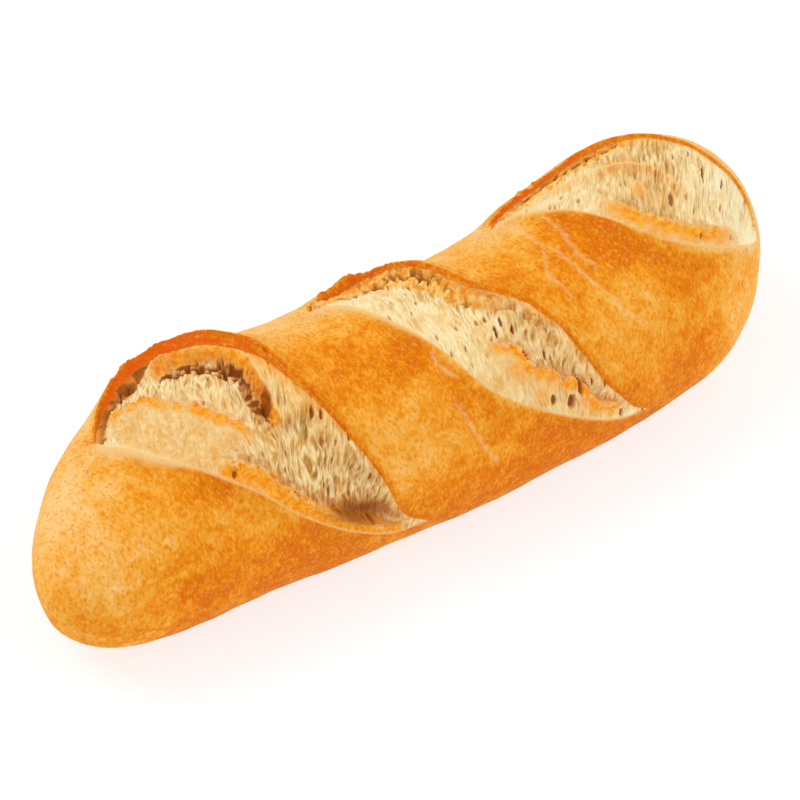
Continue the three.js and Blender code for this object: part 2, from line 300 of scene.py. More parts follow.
# ---------------------------------------------------------------- the three slashes
# Each lip is a line (x, v, height above the plain loaf), from the tip at the back to the tip low in front.
# The tables give a value at shares of the way from tip to tip:
#   depth      how deep the torn bed is
#   lowest     where its lowest place is, from 0 at the near lip to 1 at the ear
#   convex     1 where the bed rounds over from the near lip, 0 where it drops straight off it
#   foot       height of the ear's foot over the plain loaf
#   band       width of the ear's scorched face
#   slope      width of the ground between the ear's foot and the bed
#   clumps     how far that ground is torn into clumps
#   jag        how ragged the ear's crest is
#   toast      how golden the ground beside the ear's foot is
#   soft_lip   width of the pale band along the near lip
#   tone       how pale the crumb is
#   under      how dark the painted shade in the hollow under the ear's foot is
#   scorched   how far the ear's face is baked
# lip_shade_strength, the key before seed, is how much painted shade darkens the crust below the near lip.
# lean is the pair (a, b) for which a fibre keeps x + a v + b v^2 the same. seed starts the slash's noises,
# and parts is how many pieces its skin is split into.
# A shelf is a torn sheet with a ragged edge line (x, v, height). side is -1 if it lies between the line
# and the near lip, 1 if it reaches to the ear. gold is how wide it is toasted along its edge, dip how far
# it sags behind the edge, fall how wide its broken face is, skin how mottled it is, and ends the share of
# the line over which it fades in and out. dark is how deep the shadow under its edge is, face how golden
# its broken face is, broken how far the gold comes and goes, and lumpy how rough it is.
# A cavity is a line (x, v, depth) with a half-width. A hole is x, v, half length along the fibres, half
# width and depth. A bump is x, v, radius and height. A shade is x, v, half length, half width and
# strength of a brown shadow, and a tint x, v, radius and strength of a golden patch.
NEAR_SLASH = {
    "name": "near",
    "near": [
        (-68, -10.2, 0.4), (-67.7, -6, 0.45), (-66.5, -2.4, 0.5), (-63.9, 4.7, 0.55), (-60.5, 10.5, 0.6),
        (-58, 14, 0.7), (-54, 19.2, 0.8), (-49.8, 24.2, 0.8), (-45.2, 29.9, 0.8), (-39.7, 35.5, 0.8),
        (-33.4, 40.6, 0.8), (-26.6, 45.1, 0.7), (-21.9, 47.2, 0.5), (-14, 48.6, 0.1),
    ],
    "far": [
        (-68, -10.2, 0.5), (-65.5, -12.8, 1.3), (-61, -15.6, 2.4), (-56, -18, 3.4), (-50, -19.9, 4.1),
        (-44.5, -20.3, 4.5), (-39.5, -17.8, 4.6), (-36, -13.8, 4.5), (-33.7, -8.9, 4.2), (-32, -3.6, 3.6),
        (-31.2, 2.2, 2.8), (-30.3, 8, 2.2), (-29.5, 13, 1.8), (-28.3, 19, 1.4), (-26.9, 24.3, 1.1),
        (-25.4, 29.1, 0.9), (-24.2, 32.8, 0.8), (-23.1, 36.7, 0.7), (-21.6, 40.6, 0.5),
        (-19.5, 44.2, 0.3), (-14, 48.6, 0.1),
    ],
    "depth": [(0, 0), (0.1, 0.2), (0.22, 1.4), (0.4, 2.7), (0.55, 2.8), (0.7, 3.0), (0.85, 2.6), (1, 0.2)],
    "lowest": [(0, 0.7), (0.25, 0.72), (0.4, 0.7), (0.55, 0.55), (0.7, 0.42), (0.85, 0.35), (1, 0.3)],
    "convex": [(0, 1), (0.42, 1), (0.6, 0), (1, 0)],
    "foot": [(0, 0.4), (0.08, 1.2), (0.25, 2.3), (0.4, 2.0), (0.52, 1.2), (0.65, 0.6), (1, 0.1)],
    "band": [
        (0, 0.4), (0.03, 1.2), (0.08, 2.6), (0.14, 3.0), (0.24, 3.2), (0.32, 2.9), (0.42, 1.9), (0.55, 0.9),
        (0.7, 0.5), (1, 0.3),
    ],
    "slope": [(0, 1.5), (0.2, 1.2), (0.4, 3.0), (0.6, 4.0), (1, 2.0)],
    "clumps": [(0, 0), (0.3, 0), (0.42, 0.35), (0.55, 0.3), (0.7, 0), (1, 0)],
    "jag": [(0, 0.2), (0.08, 0.4), (0.16, 0.25), (0.24, 0.06), (1, 0.05)],
    "toast": [(0, 0.9), (0.3, 0.9), (0.5, 0.45), (0.65, 0.25), (1, 0.2)],
    "soft_lip": [(0, 2.8), (0.2, 2.0), (0.32, 0.5), (0.5, 0.3), (0.8, 0.35), (1, 0.5)],
    "tone": [(0, 0.1), (0.3, 0.02), (0.5, -0.06), (0.75, -0.1), (1, -0.06)],
    "under": [(0, 0.3), (0.03, 0.8), (0.11, 0.8), (0.16, 0), (1, 0)],
    "scorched": [(0, 1.1), (0.12, 1.0), (0.25, 0.94), (0.5, 0.82), (1, 0.7)],
    "lean": (0.5, -0.0045),
    "shelves": [
        {
            "line": [
                (-64.5, -12.6, 0.9), (-61.5, -11.6, 0.9), (-59, -9.6, 0.9), (-57, -9, 0.9), (-55, -7.6, 0.8),
                (-54, -4.6, 0.7), (-52.6, -1.4, 0.6), (-50.8, 0.8, 0.5), (-49.4, 3.2, 0.4), (-48, 6, 0.2),
                (-46.4, 8, 0), (-45, 11, -0.2), (-44.4, 15, -0.4),
            ],
            "side": -1, "gold": 2.8, "dip": 0.0, "fall": 1.3, "ragged": 1.0, "skin": 0.75, "ends": 0.12,
            "dark": 0.25, "face": 1.0, "broken": 0.95, "lumpy": 0.8,
        },
        {
            "line": [
                (-50.5, -14.2, 2.2), (-47.2, -14.9, 2.6), (-44.5, -15.4, 2.6), (-42.2, -14.9, 2.5),
                (-39.9, -13.2, 2.3), (-37.8, -11, 2.1), (-36.3, -7.8, 2.0), (-35.5, -5.2, 1.8),
                (-35, -2.7, 1.6), (-35.1, -0.4, 1.4), (-36, 2.6, 1.1), (-36.7, 5.5, 0.8), (-37.2, 8.3, 0.4),
                (-37.8, 11.5, 0), (-38.2, 15, -0.4),
            ],
            "side": 1, "gold": 0.4, "dip": 0.35, "fall": 2.2, "ragged": 0.4, "skin": 0.35, "ends": 0.08,
            "dark": 1.0, "face": 1.0, "broken": 0.15, "lumpy": 1.0,
        },
        {
            "line": [
                (-55.5, 14.4, 0.6), (-53.3, 15.2, 0.9), (-51.4, 16.4, 1.1), (-49, 18, 1.3),
                (-46.8, 20.8, 1.3), (-44.6, 25, 1.3), (-42, 28.9, 1.2), (-38.8, 32.4, 1.2), (-35.2, 36, 1.1),
                (-31, 39.4, 1), (-26.6, 42.8, 0.8), (-23.1, 45, 0.5), (-19, 46.6, 0.2),
            ],
            "side": -1, "gold": 6.5, "dip": 0.5, "fall": 0.6, "ragged": 1.05, "skin": 0.3, "ends": 0.06,
            "dark": 0.4, "face": 1.0, "broken": 0.0, "lumpy": 0.55,
        },
    ],
    "cavities": [
        {"line": [(-65.5, -12.6, 0.5), (-63, -13.8, 0.9), (-60, -14.9, 1.3), (-56.8, -15.5, 1.9),
                  (-53.6, -15.5, 2.1), (-50.4, -15.6, 1.7)], "half": 1.3, "ragged": 0.4, "dark": 1.0},
        {"line": [(-47, -11.2, 1.2), (-44.5, -11.4, 1.7), (-42.6, -10.6, 1.3), (-41.3, -8.9, 1.8),
                  (-39.8, -7, 1.1), (-38.9, -4.2, 1.5), (-37.9, -1.2, 1.0), (-37.3, 1, 1.3)],
         "half": 1.5, "ragged": 0.4, "dark": 1.0},
    ],
    "holes": [
        (-37.9, 7.8, 3.3, 0.95, 1.7), (-32.2, 13.9, 1.3, 0.5, 1.2), (-31.0, 15.0, 1.0, 0.35, 1.0),
        (-31.6, -1.2, 1.0, 0.4, 0.9), (-33.0, 1.5, 0.5, 0.25, 0.5), (-28.6, 21, 1.0, 0.25, 0.5),
        (-27.2, 30.5, 0.9, 0.25, 0.6), (-44.0, 32.2, 0.7, 0.4, 0.8), (-52.5, 18.6, 0.9, 0.6, 0.6),
    ],
    "bumps": [],
    "shade": [(-30, 38.5, 9, 2.4, 0.8)],
    "tints": [],
    "lip_shade_strength": 0.05,
    "seed": 11,
    "parts": 2,
}
MIDDLE_SLASH = {
    "name": "middle",
    "near": [
        (-15, -12, 0.2), (-12.5, -11.6, 0.4), (-10.5, -10.2, 0.5), (-9, -6.7, 0.6), (-7.5, -2.8, 0.7),
        (-5.3, 3.3, 0.8), (-3, 9.3, 0.8), (-1.3, 14.4, 0.8), (1.3, 21, 0.8), (4.1, 24.9, 0.8),
        (7.5, 28.2, 0.8), (11.5, 31.4, 0.8), (15.7, 34.5, 0.8), (20.3, 37.7, 0.8), (25.5, 41.3, 0.7),
        (30.9, 44.3, 0.6), (35.2, 45.9, 0.4), (40, 47.5, 0.1),
    ],
    "far": [
        (-15, -12, 0.2), (-11.5, -15.5, 1.2), (-8, -17.6, 2.5), (-4, -19.4, 3.3), (-3, -19.7, 3.9),
        (1, -20, 3.9), (4, -18.9, 3.7), (5.2, -17.6, 4.2), (7, -14.7, 4.1), (9.5, -10, 3.6),
        (10.8, -6, 3.1), (11.8, -2, 2.5), (13.2, 1, 2), (16.8, 5.2, 1.6), (20.3, 10, 1.4),
        (21.5, 13.5, 1.3), (22.9, 16.8, 1.2), (23.6, 19.6, 1.1), (24.3, 22.8, 1), (25.3, 25.9, 1),
        (26.5, 29.4, 0.9), (28.4, 33.7, 0.8), (31.4, 38.2, 0.6), (35, 43.4, 0.4), (40, 47.5, 0.1),
    ],
    "depth": [(0, 0.1), (0.15, 0.8), (0.3, 1.4), (0.5, 1.8), (0.7, 1.5), (0.85, 1.2), (1, 0.2)],
    "lowest": [(0, 0.7), (0.15, 0.72), (0.3, 0.7), (0.5, 0.55), (0.7, 0.42), (1, 0.4)],
    "convex": [(0, 1), (0.5, 1), (0.65, 0.3), (1, 0)],
    "foot": [(0, 0.2), (0.08, 1.0), (0.2, 2.1), (0.42, 2.0), (0.52, 0.9), (0.65, 0.4), (1, 0.1)],
    "band": [(0, 0.7), (0.1, 1.2), (0.35, 1.4), (0.48, 1.2), (0.6, 0.5), (1, 0.3)],
    "slope": [(0, 2.5), (0.15, 4.0), (0.42, 3.6), (0.6, 4.2), (1, 2)],
    "clumps": [(0, 0.8), (0.06, 1), (0.35, 1), (0.48, 0.3), (0.62, 0.05), (1, 0)],
    "jag": [(0, 0.6), (0.12, 0.7), (0.3, 0.3), (0.42, 0.12), (1, 0.06)],
    "toast": [(0, 0.6), (0.4, 0.4), (0.6, 0.5), (0.8, 0.3), (1, 0.2)],
    "soft_lip": [(0, 2.6), (0.2, 1.3), (0.34, 0.3), (0.6, 0.3), (0.8, 0.7), (1, 0.5)],
    "tone": [(0, 0.2), (0.3, 0.14), (0.5, 0.05), (0.75, 0.05), (0.9, 0.18), (1, 0.18)],
    "under": [(0, 0.2), (0.1, 0.3), (0.4, 0.3), (0.5, 0), (1, 0)],
    "scorched": [(0, 1.0), (0.15, 0.85), (0.4, 0.76), (1, 0.66)],
    "lean": (0.3, -0.0017),
    "shelves": [
        {
            "line": [
                (8, 13, -0.4), (10.4, 15.6, -0.2), (12.6, 17.2, 0), (13.3, 19.5, 0.1), (13.5, 22.2, 0.1),
                (15.6, 23.9, 0.2), (18, 25.8, 0.2), (18.8, 27.8, 0.3), (20.8, 28.7, 0.3), (22.9, 31.2, 0.3),
                (24.1, 34.3, 0.4), (25.8, 37, 0.4), (29.5, 39.6, 0.4), (32.3, 42.6, 0.3),
            ],
            "side": -1, "gold": 3.4, "dip": 0.2, "fall": 0.5, "ragged": 0.9, "skin": 0.5, "ends": 0.08,
            "dark": 0.3, "face": 0.9, "broken": 0.35, "lumpy": 1.0,
        },
        {
            "line": [
                (14, 3.5, 0.9), (17, 7, 0.8), (19.6, 10.4, 0.6), (21.2, 13.8, 0.5), (22.4, 17.6, 0.4),
                (22.9, 21.6, 0.3), (23, 26, 0.3), (23.4, 30, 0.2), (24.4, 34, 0.2),
            ],
            "side": 1, "gold": 0.2, "dip": 0.5, "fall": 0.7, "ragged": 0.15, "skin": 0.2, "ends": 0.1,
            "dark": 0.1, "face": 0.25, "broken": 0.3, "lumpy": 0.5,
        },
    ],
    "cavities": [
        {"line": [(13.6, 6, 0.6), (16.4, 9.5, 0.9), (18.6, 13, 0.9), (20.2, 17, 0.7), (21, 22, 0.5)],
         "half": 0.7, "ragged": 0.6, "dark": 0.35},
        {"line": [(-9, -13.2, 1.1), (-5, -15, 1.2), (-1, -15.4, 1.2), (3, -13.8, 1.4), (6, -10.6, 1.2),
                  (8, -6.4, 1.2), (9.4, -2.4, 1.0)], "half": 0.5, "ragged": 0.9, "dark": 0.7},
    ],
    "holes": [
        (19.0, 33.2, 1.6, 0.95, 1.9), (21.8, 31.2, 1.7, 0.65, 1.4), (27.7, 32.7, 1.5, 0.45, 1.0),
        (15.0, 30.9, 1.1, 0.6, 1.0), (21.3, 9.2, 1.0, 0.3, 0.8), (13.4, 10.6, 1.3, 0.35, 0.9),
        (14.6, 13.4, 1.2, 0.35, 0.9), (37.4, 46.3, 0.7, 0.5, 0.6), (31.5, 43.2, 0.9, 0.6, 0.7),
        (11.2, 12.2, 1.5, 0.35, 0.8), (17.6, 21.6, 1.2, 0.3, 0.7), (24.9, 31.6, 1.0, 0.3, 0.7),
    ],
    "bumps": [(-14.6, -12.2, 1.5, 1.6), (-12.2, -13.2, 1.2, 1.2), (-10.2, -13.6, 1.0, 0.9)],
    "shade": [(33, 42, 5, 1.6, 0.15), (21, 16, 5, 1.2, 0.3)],
    "tints": [(10.4, 21.5, 3.4, 0.8), (13.2, 28.6, 3.4, 0.5), (8.6, 16.5, 2.0, 0.5)],
    "lip_shade_strength": 0.6,
    "seed": 23,
    "parts": 2,
}
FAR_SLASH = {
    "name": "far",
    "near": [
        (30, -14, 0.2), (32.8, -14.6, 0.4), (34.9, -13.8, 0.5), (36.9, -12, 0.6), (39.2, -8.4, 0.7),
        (41.7, -5, 0.7), (43.8, -1.3, 0.8), (45.9, 2.4, 0.8), (48, 6.1, 0.8), (50.1, 9.9, 0.8),
        (52.8, 13.4, 0.8), (56.1, 16.5, 0.8), (60, 19.3, 0.8), (64.6, 22.1, 0.7), (70.5, 25.4, 0.6),
        (76.6, 29.1, 0.3), (79.4, 30.3, 0.1),
    ],
    "far": [
        (30, -14, 0.2), (33, -17, 1.2), (38, -18.8, 2), (44, -19.3, 2.3), (50, -18.5, 2.3),
        (56, -16.8, 2.2), (61, -15.2, 2.1), (66, -12.8, 2), (70.5, -9.5, 1.7), (74.5, -5, 1.4),
        (77.3, -0.5, 1.2), (79, 4.5, 1), (80.3, 10, 0.9), (80.8, 16, 0.8), (80.7, 21, 0.6),
        (80.1, 25.5, 0.4), (79.4, 30.3, 0.1),
    ],
    "depth": [(0, 0.1), (0.15, 0.6), (0.3, 1.2), (0.5, 1.8), (0.7, 1.7), (0.85, 1.2), (1, 0.2)],
    "lowest": [(0, 0.7), (0.15, 0.72), (0.3, 0.62), (0.5, 0.4), (0.7, 0.32), (1, 0.35)],
    "convex": [(0, 1), (0.38, 1), (0.5, 0.4), (1, 0.2)],
    "foot": [(0, 0.1), (0.08, 0.5), (0.2, 0.9), (0.5, 0.9), (0.65, 0.6), (0.8, 0.35), (1, 0.1)],
    "band": [(0, 1.2), (0.1, 1.8), (0.35, 1.8), (0.5, 1.1), (0.65, 0.6), (0.8, 0.4), (1, 0.3)],
    "slope": [(0, 2), (0.1, 3.2), (0.45, 3.4), (0.6, 4), (1, 3)],
    "clumps": [(0, 0.8), (0.06, 1), (0.42, 1), (0.52, 0.15), (0.7, 0), (1, 0)],
    "jag": [(0, 1.0), (0.16, 1.1), (0.3, 0.5), (0.42, 0.12), (1, 0.05)],
    "toast": [(0, 0.6), (0.4, 0.4), (0.6, 0.3), (0.8, 0.1), (1, 0.1)],
    "soft_lip": [(0, 2.2), (0.18, 1.2), (0.28, 0.3), (0.5, 0.2), (0.75, 0.4), (1, 0.8)],
    "tone": [(0, 0.2), (0.3, 0.1), (0.45, -0.06), (0.55, -0.08), (0.68, 0.2), (0.8, 0.4), (1, 0.45)],
    "under": [(0, 0.2), (0.1, 0.5), (0.4, 0.4), (0.45, 0), (1, 0)],
    "scorched": [(0, 1.1), (0.2, 1.0), (0.4, 0.82), (0.7, 0.7), (1, 0.6)],
    "lean": (0.9, 0.0),
    "shelves": [
        {
            "line": [
                (36, -14.6, 0), (41, -14.8, 0), (46, -13.8, -0.1), (50.5, -11.8, -0.1), (54, -10, -0.1),
                (57, -8.4, -0.1), (60.5, -6.4, -0.2), (63, -3.6, -0.3), (65, -0.7, -0.3), (65.8, 3, -0.4),
                (66, 7, -0.5), (65.4, 10.5, -0.7), (63.6, 12.8, -0.9),
            ],
            "side": 1, "gold": 0.4, "dip": 0.0, "fall": 2.6, "ragged": 0.3, "skin": 0.1, "ends": 0.12,
            "dark": 0.0, "face": 0.3, "broken": 0.4, "lumpy": 0.3,
        },
        {
            "line": [
                (46.6, -2.4, 0.5), (49.8, 0.4, 0.8), (51.8, 3.4, 1.0), (53, 6.4, 1.1), (54.8, 9.2, 1.1),
                (57.2, 12, 1.1), (60, 14.5, 1.1), (63, 16.7, 1.0), (66.6, 18.8, 0.9), (70, 21, 0.7),
                (74, 24.2, 0.4),
            ],
            "side": -1, "gold": 4.0, "dip": 0.6, "fall": 0.7, "ragged": 0.8, "skin": 1.0, "ends": 0.24,
            "dark": 0.3, "face": 1.0, "broken": 0.2, "lumpy": 0.15,
        },
    ],
    "cavities": [
        {"line": [(40, -16.4, 0.7), (44, -16.8, 0.9), (48, -16.4, 1.0), (52, -15.2, 1.1), (56, -13.8, 1.1),
                  (60, -12.2, 1.1), (63, -10.8, 0.9)], "half": 0.5, "ragged": 0.7, "dark": 1.0},
    ],
    "holes": [
        (74.0, 7.6, 2.2, 0.45, 1.0), (76.6, 12.4, 1.2, 0.3, 0.6), (80.0, 20.6, 1.7, 0.4, 0.9),
        (79.6, 26.4, 1.0, 0.3, 0.6), (75.0, 1.4, 1.0, 0.3, 0.5), (61.7, 18.0, 0.5, 0.35, 0.6),
        (69.6, 22.6, 0.5, 0.3, 0.6), (73.6, 25.4, 0.5, 0.3, 0.6), (62.6, 8.0, 1.6, 1.0, 0.6),
    ],
    "bumps": [],
    "shade": [],
    "tints": [(58.8, 1.5, 3.6, 0.6), (58.7, -7.2, 2.6, 0.6), (61.8, -5.0, 2.6, 0.6), (60.5, 6, 2.6, 0.4)],
    "lip_shade_strength": 0.8,
    "seed": 37,
    "parts": 1,
}
SLASHES = (NEAR_SLASH, MIDDLE_SLASH, FAR_SLASH)
for slash in SLASHES:
    for lip in ("near", "far"):
        slash[lip] = smooth_line(slash[lip])

# Fine pale lines in the crust where the dough's skin had stretched: (x, v) points.
VEINS = [
    [(33.9, -16), (32.4, -7), (32.3, -1), (33.3, 2.6), (33.7, 6.8), (34.3, 10.8), (35.2, 14.8), (36.7, 18.4),
     (37.4, 21.6), (39.6, 25), (42.3, 28.2)],
    [(38.7, -8.1), (38.1, -2.8), (37.5, 0.9), (36.4, 5.1), (37.1, 9.1), (37.4, 12)],
    [(32.4, 0), (29.9, 3.4), (27.8, 6.7), (28.4, 10), (29, 14.3)],
    [(-3.6, 10.5), (-4.2, 14.8), (-1.9, 18.7)],
    [(-4.9, 22), (-3.9, 28), (-2.7, 32), (1.3, 41.5)],
]

# ---------------------------------------------------------------- the crust's relief and bake
EAR_SPREAD = 11.0
LIP_SPREAD = 6.0
SLASH_REACH = 16.0  # farther from a slash than this, the crust is plain
OUTSIDE = -99.0
CRUST_SWELLS = ((0.3, 17, 3), (0.13, 7, 5), (0.035, 2.2, 6))  # height and width in mm, and seed
TOP_BAKE = 0.53
DARKEST_BAKE = 0.74
VEIN_HALF = 0.42
VEIN_STRENGTH = 0.62


def crust_swell(points):
    """The crust's gentle unevenness: smooth noise 17 mm, 7 mm and 2 mm wide, up to a third of a millimetre
    high, which fades out down to the floor."""
    swells = sum(height * swell(points / width, seed) for height, width, seed in CRUST_SWELLS)
    return swells * eased(points[..., 2], 0.3, 6)


def outside_height(near, far, near_height, far_height):
    """Each near lip has a foot that fades over 6 mm and each ear a back that fades over 11 mm, both as the
    square of 1 - d/spread. Past its edge a lip keeps its height."""
    foot = near_height * share(LIP_SPREAD + near, 0, LIP_SPREAD) ** 2
    back = far_height * share(EAR_SPREAD + far, 0, EAR_SPREAD) ** 2
    return np.where(far < near, back, foot)


def lips(slash, x, v):
    """Distances inside the near and the far lip, positive in the opening, the height of each lip, and the
    share of the near lip's length."""
    inside_near, place, near_height = beside(slash["near"], x, v)
    outside_far, _, far_height = beside(slash["far"], x, v)
    return inside_near, -outside_far, near_height, far_height, place


def crust_relief(x, v):
    """What the slashes do to the crust round them: its height, the distance inside the nearest opening, the
    painted shade below each near lip with a darker line along each crest, and the pale near lips."""
    height = np.zeros(x.shape)
    opening = np.full(x.shape, OUTSIDE)
    shade = np.zeros(x.shape)
    pale = np.zeros(x.shape)
    for slash in SLASHES:
        both = np.vstack([slash["near"], slash["far"]])
        here = within(both, x, v, SLASH_REACH)
        near, far, near_height, far_height, place = lips(slash, x[here], v[here])
        height[here] += outside_height(near, far, near_height, far_height)
        opening[here] = np.maximum(opening[here], np.minimum(near, far))
        shade[here] = np.maximum(shade[here], lip_shade(slash, near, far, place))
        pale[here] = np.maximum(pale[here], lip_glow(slash, near, far, place))
    return height, opening, shade, pale


def lip_shade(slash, near, far, place):
    """From 0 to 1: painted shade, strongest 2 to 4 mm below the near lip and fading out 13 mm below it, and a
    narrow darker line along the ear's crest."""
    below = slash["lip_shade_strength"] * eased(-near, 0.3, 2.2) * eased(-near, 13, 4)
    below = below * (far > 0) * eased(place, 0.12, 0.35)
    crest = eased(far, -1.5, -0.2) * eased(far, 1.2, 0.4) * mixed(eased(place, 0.35, 0.55), 0.1, 0.5)
    return np.maximum(below, crest * (near > 0))


def lip_glow(slash, near, far, place):
    """The pale line or band along the near lip."""
    width = along(slash["soft_lip"], place)
    band = bell(near, -0.1 * width, 0.55 * width) * mixed(eased(width, 0.3, 1.5), 0.75, 0.9)
    return band * eased(far, 0.2, 1.8) * eased(place, 1.0, 0.9)


def crust_bake_and_shading(x, v, points, shade):
    """How far the crust is baked, from 0 (cream) to 1 (amber), with painted light and shade laid into it. The
    top has a bake of its own, and each zone of the loaf adds to it or takes from it. The low sides are
    darker as painted shade, more so before the waist and below the middle slash, and so is a band below
    each near lip. Both ends and the back of the top are paler as painted highlight. Noise 16 mm, 6 mm and
    1.6 by 9 mm wide makes it uneven, and pale smears 4 mm wide lie on it, most of all on the near end. Zones
    begin and end at places in mm along the loaf, over the floor or from a tip, or in degrees round it."""
    y, z = points[..., 1], points[..., 2]
    from_tip = HALF - np.abs(x)
    angle = rolled(v)
    low = eased(z, 30, 15)
    panels = eased(x, -34, -24) * eased(from_tip, 2, 16)
    before_waist = eased(x, -62, -45) * eased(x, 10, -10)
    zones = (
        # painted shade: the low sides, facing away from the light, are darker
        (0.22, low),
        # painted highlight: the near end, facing the light, is paler
        (-0.29, eased(-x, 66, 86) * mixed(low, 1, 1.1)),  # the near end
        # painted shade, low on the front before the waist
        (0.06, low * before_waist),
        (0.12, panels * bell(angle, 14, 13)),  # the ridges between the slashes
        (-mixed(eased(x, -15, -5), 0.14, 0.05), panels * eased(angle, 22, 45)),  # the panels' fronts
        # painted shade, low below the middle slash
        (0.10, low * bell(x, 13, 9)),  # below the middle slash
        # painted highlight along the back of the top
        (-0.33, bell(angle, -36, 25) * eased(from_tip, 1, 14)),  # the back of the top
        # painted highlight on the far end
        (-0.42, eased(x, 50, 74)),  # the far end
        # painted shade below each near lip
        (0.28, shade),
        (0.13, swell(points / 16, 71)),
        (0.10, swell(points / 6, 72)),
        (0.07, ripple(x - 0.3 * v, v, (1.6, 9), 75) * eased(from_tip, 4, 20)),
    )
    bake_and_shading = TOP_BAKE + sum(amount * zone for amount, zone in zones)
    smear = eased(swell(points / 4.2, 73) + 0.7 * swell(points / 1.5, 74), 0.1, 0.9)
    near_front = eased(-x, 60, 74) * eased(-y, -4, 14)
    return np.minimum(bake_and_shading - smear * mixed(near_front, 0.08, 0.22), DARKEST_BAKE)


def veins(x, v):
    """The fine pale lines in the crust: ragged, 0.4 mm to each side, broken by noise 2 mm wide and faded at
    their ends."""
    glow = np.zeros(x.shape)
    for k, points in enumerate(VEINS):
        line = smooth_line(points)
        here = within(line, x, v, 2)
        wx, wv = ragged(x[here], v[here], 0.5, 140 + k)
        gap, place, _ = beside(line, wx, wv)
        broken = 0.7 + 0.3 * ripple(x[here], v[here], 2.1, 150 + k)
        ends = eased(place, 0, 0.1) * eased(place, 1, 0.9)
        glow[here] = np.maximum(glow[here], bell(gap, 0, VEIN_HALF) * broken * ends)
    return VEIN_STRENGTH * glow


# ---------------------------------------------------------------- the torn slashes
BED_EASE = 0.25
CLUMP_SIZE = (1.55, 1.35)
PORE_SIZE = (1.1, 3.4)
SHADE_WAY = np.array([1.0, 0.55]) / np.hypot(1, 0.55)  # the patches of shadow lie along this way


def strands(slash, x, v):
    """Torn fibres, from 0 in the gaps to 1 on the strands: the walls of long cells, large and small, and
    ridges of smooth noise, 1 - |noise|, all drawn out along the way that the crumb tore. Their way turns
    slowly along the slash, as x + a v + b v^2 stays the same along a strand."""
    first, second = slash["lean"]
    seed = slash["seed"]
    cross = x + first * v + second * v * v
    cross = cross + ripple(cross, v, (4, 8), seed) + 0.32 * ripple(cross, v, (1.3, 3.6), seed + 1)
    cross = cross + 0.12 * ripple(cross, v, (0.5, 1.3), seed + 8)
    wide = eased(webs(cross / 1.5, v / 9, seed + 2), 0.36, 0.02)
    wide = np.maximum(wide, 0.85 * eased(webs((cross + 0.3 * v) / 1.8, v / 7, seed + 14), 0.3, 0.02))
    fine = eased(webs(cross / 0.75, v / 5.5, seed + 3), 0.45, 0.02)
    ridge = 1 - np.abs(ripple(cross, v, (1.2, 11), seed + 9))
    hair = ripple(cross, v, (0.27, 2.6), seed + 4)
    tuft = ripple(cross, v, (2.6, 7), seed + 12)
    return np.clip(0.4 * wide + 0.26 * fine + 0.4 * ridge**2 + 0.12 * hair + 0.14 * tuft, 0, 1.15), cross


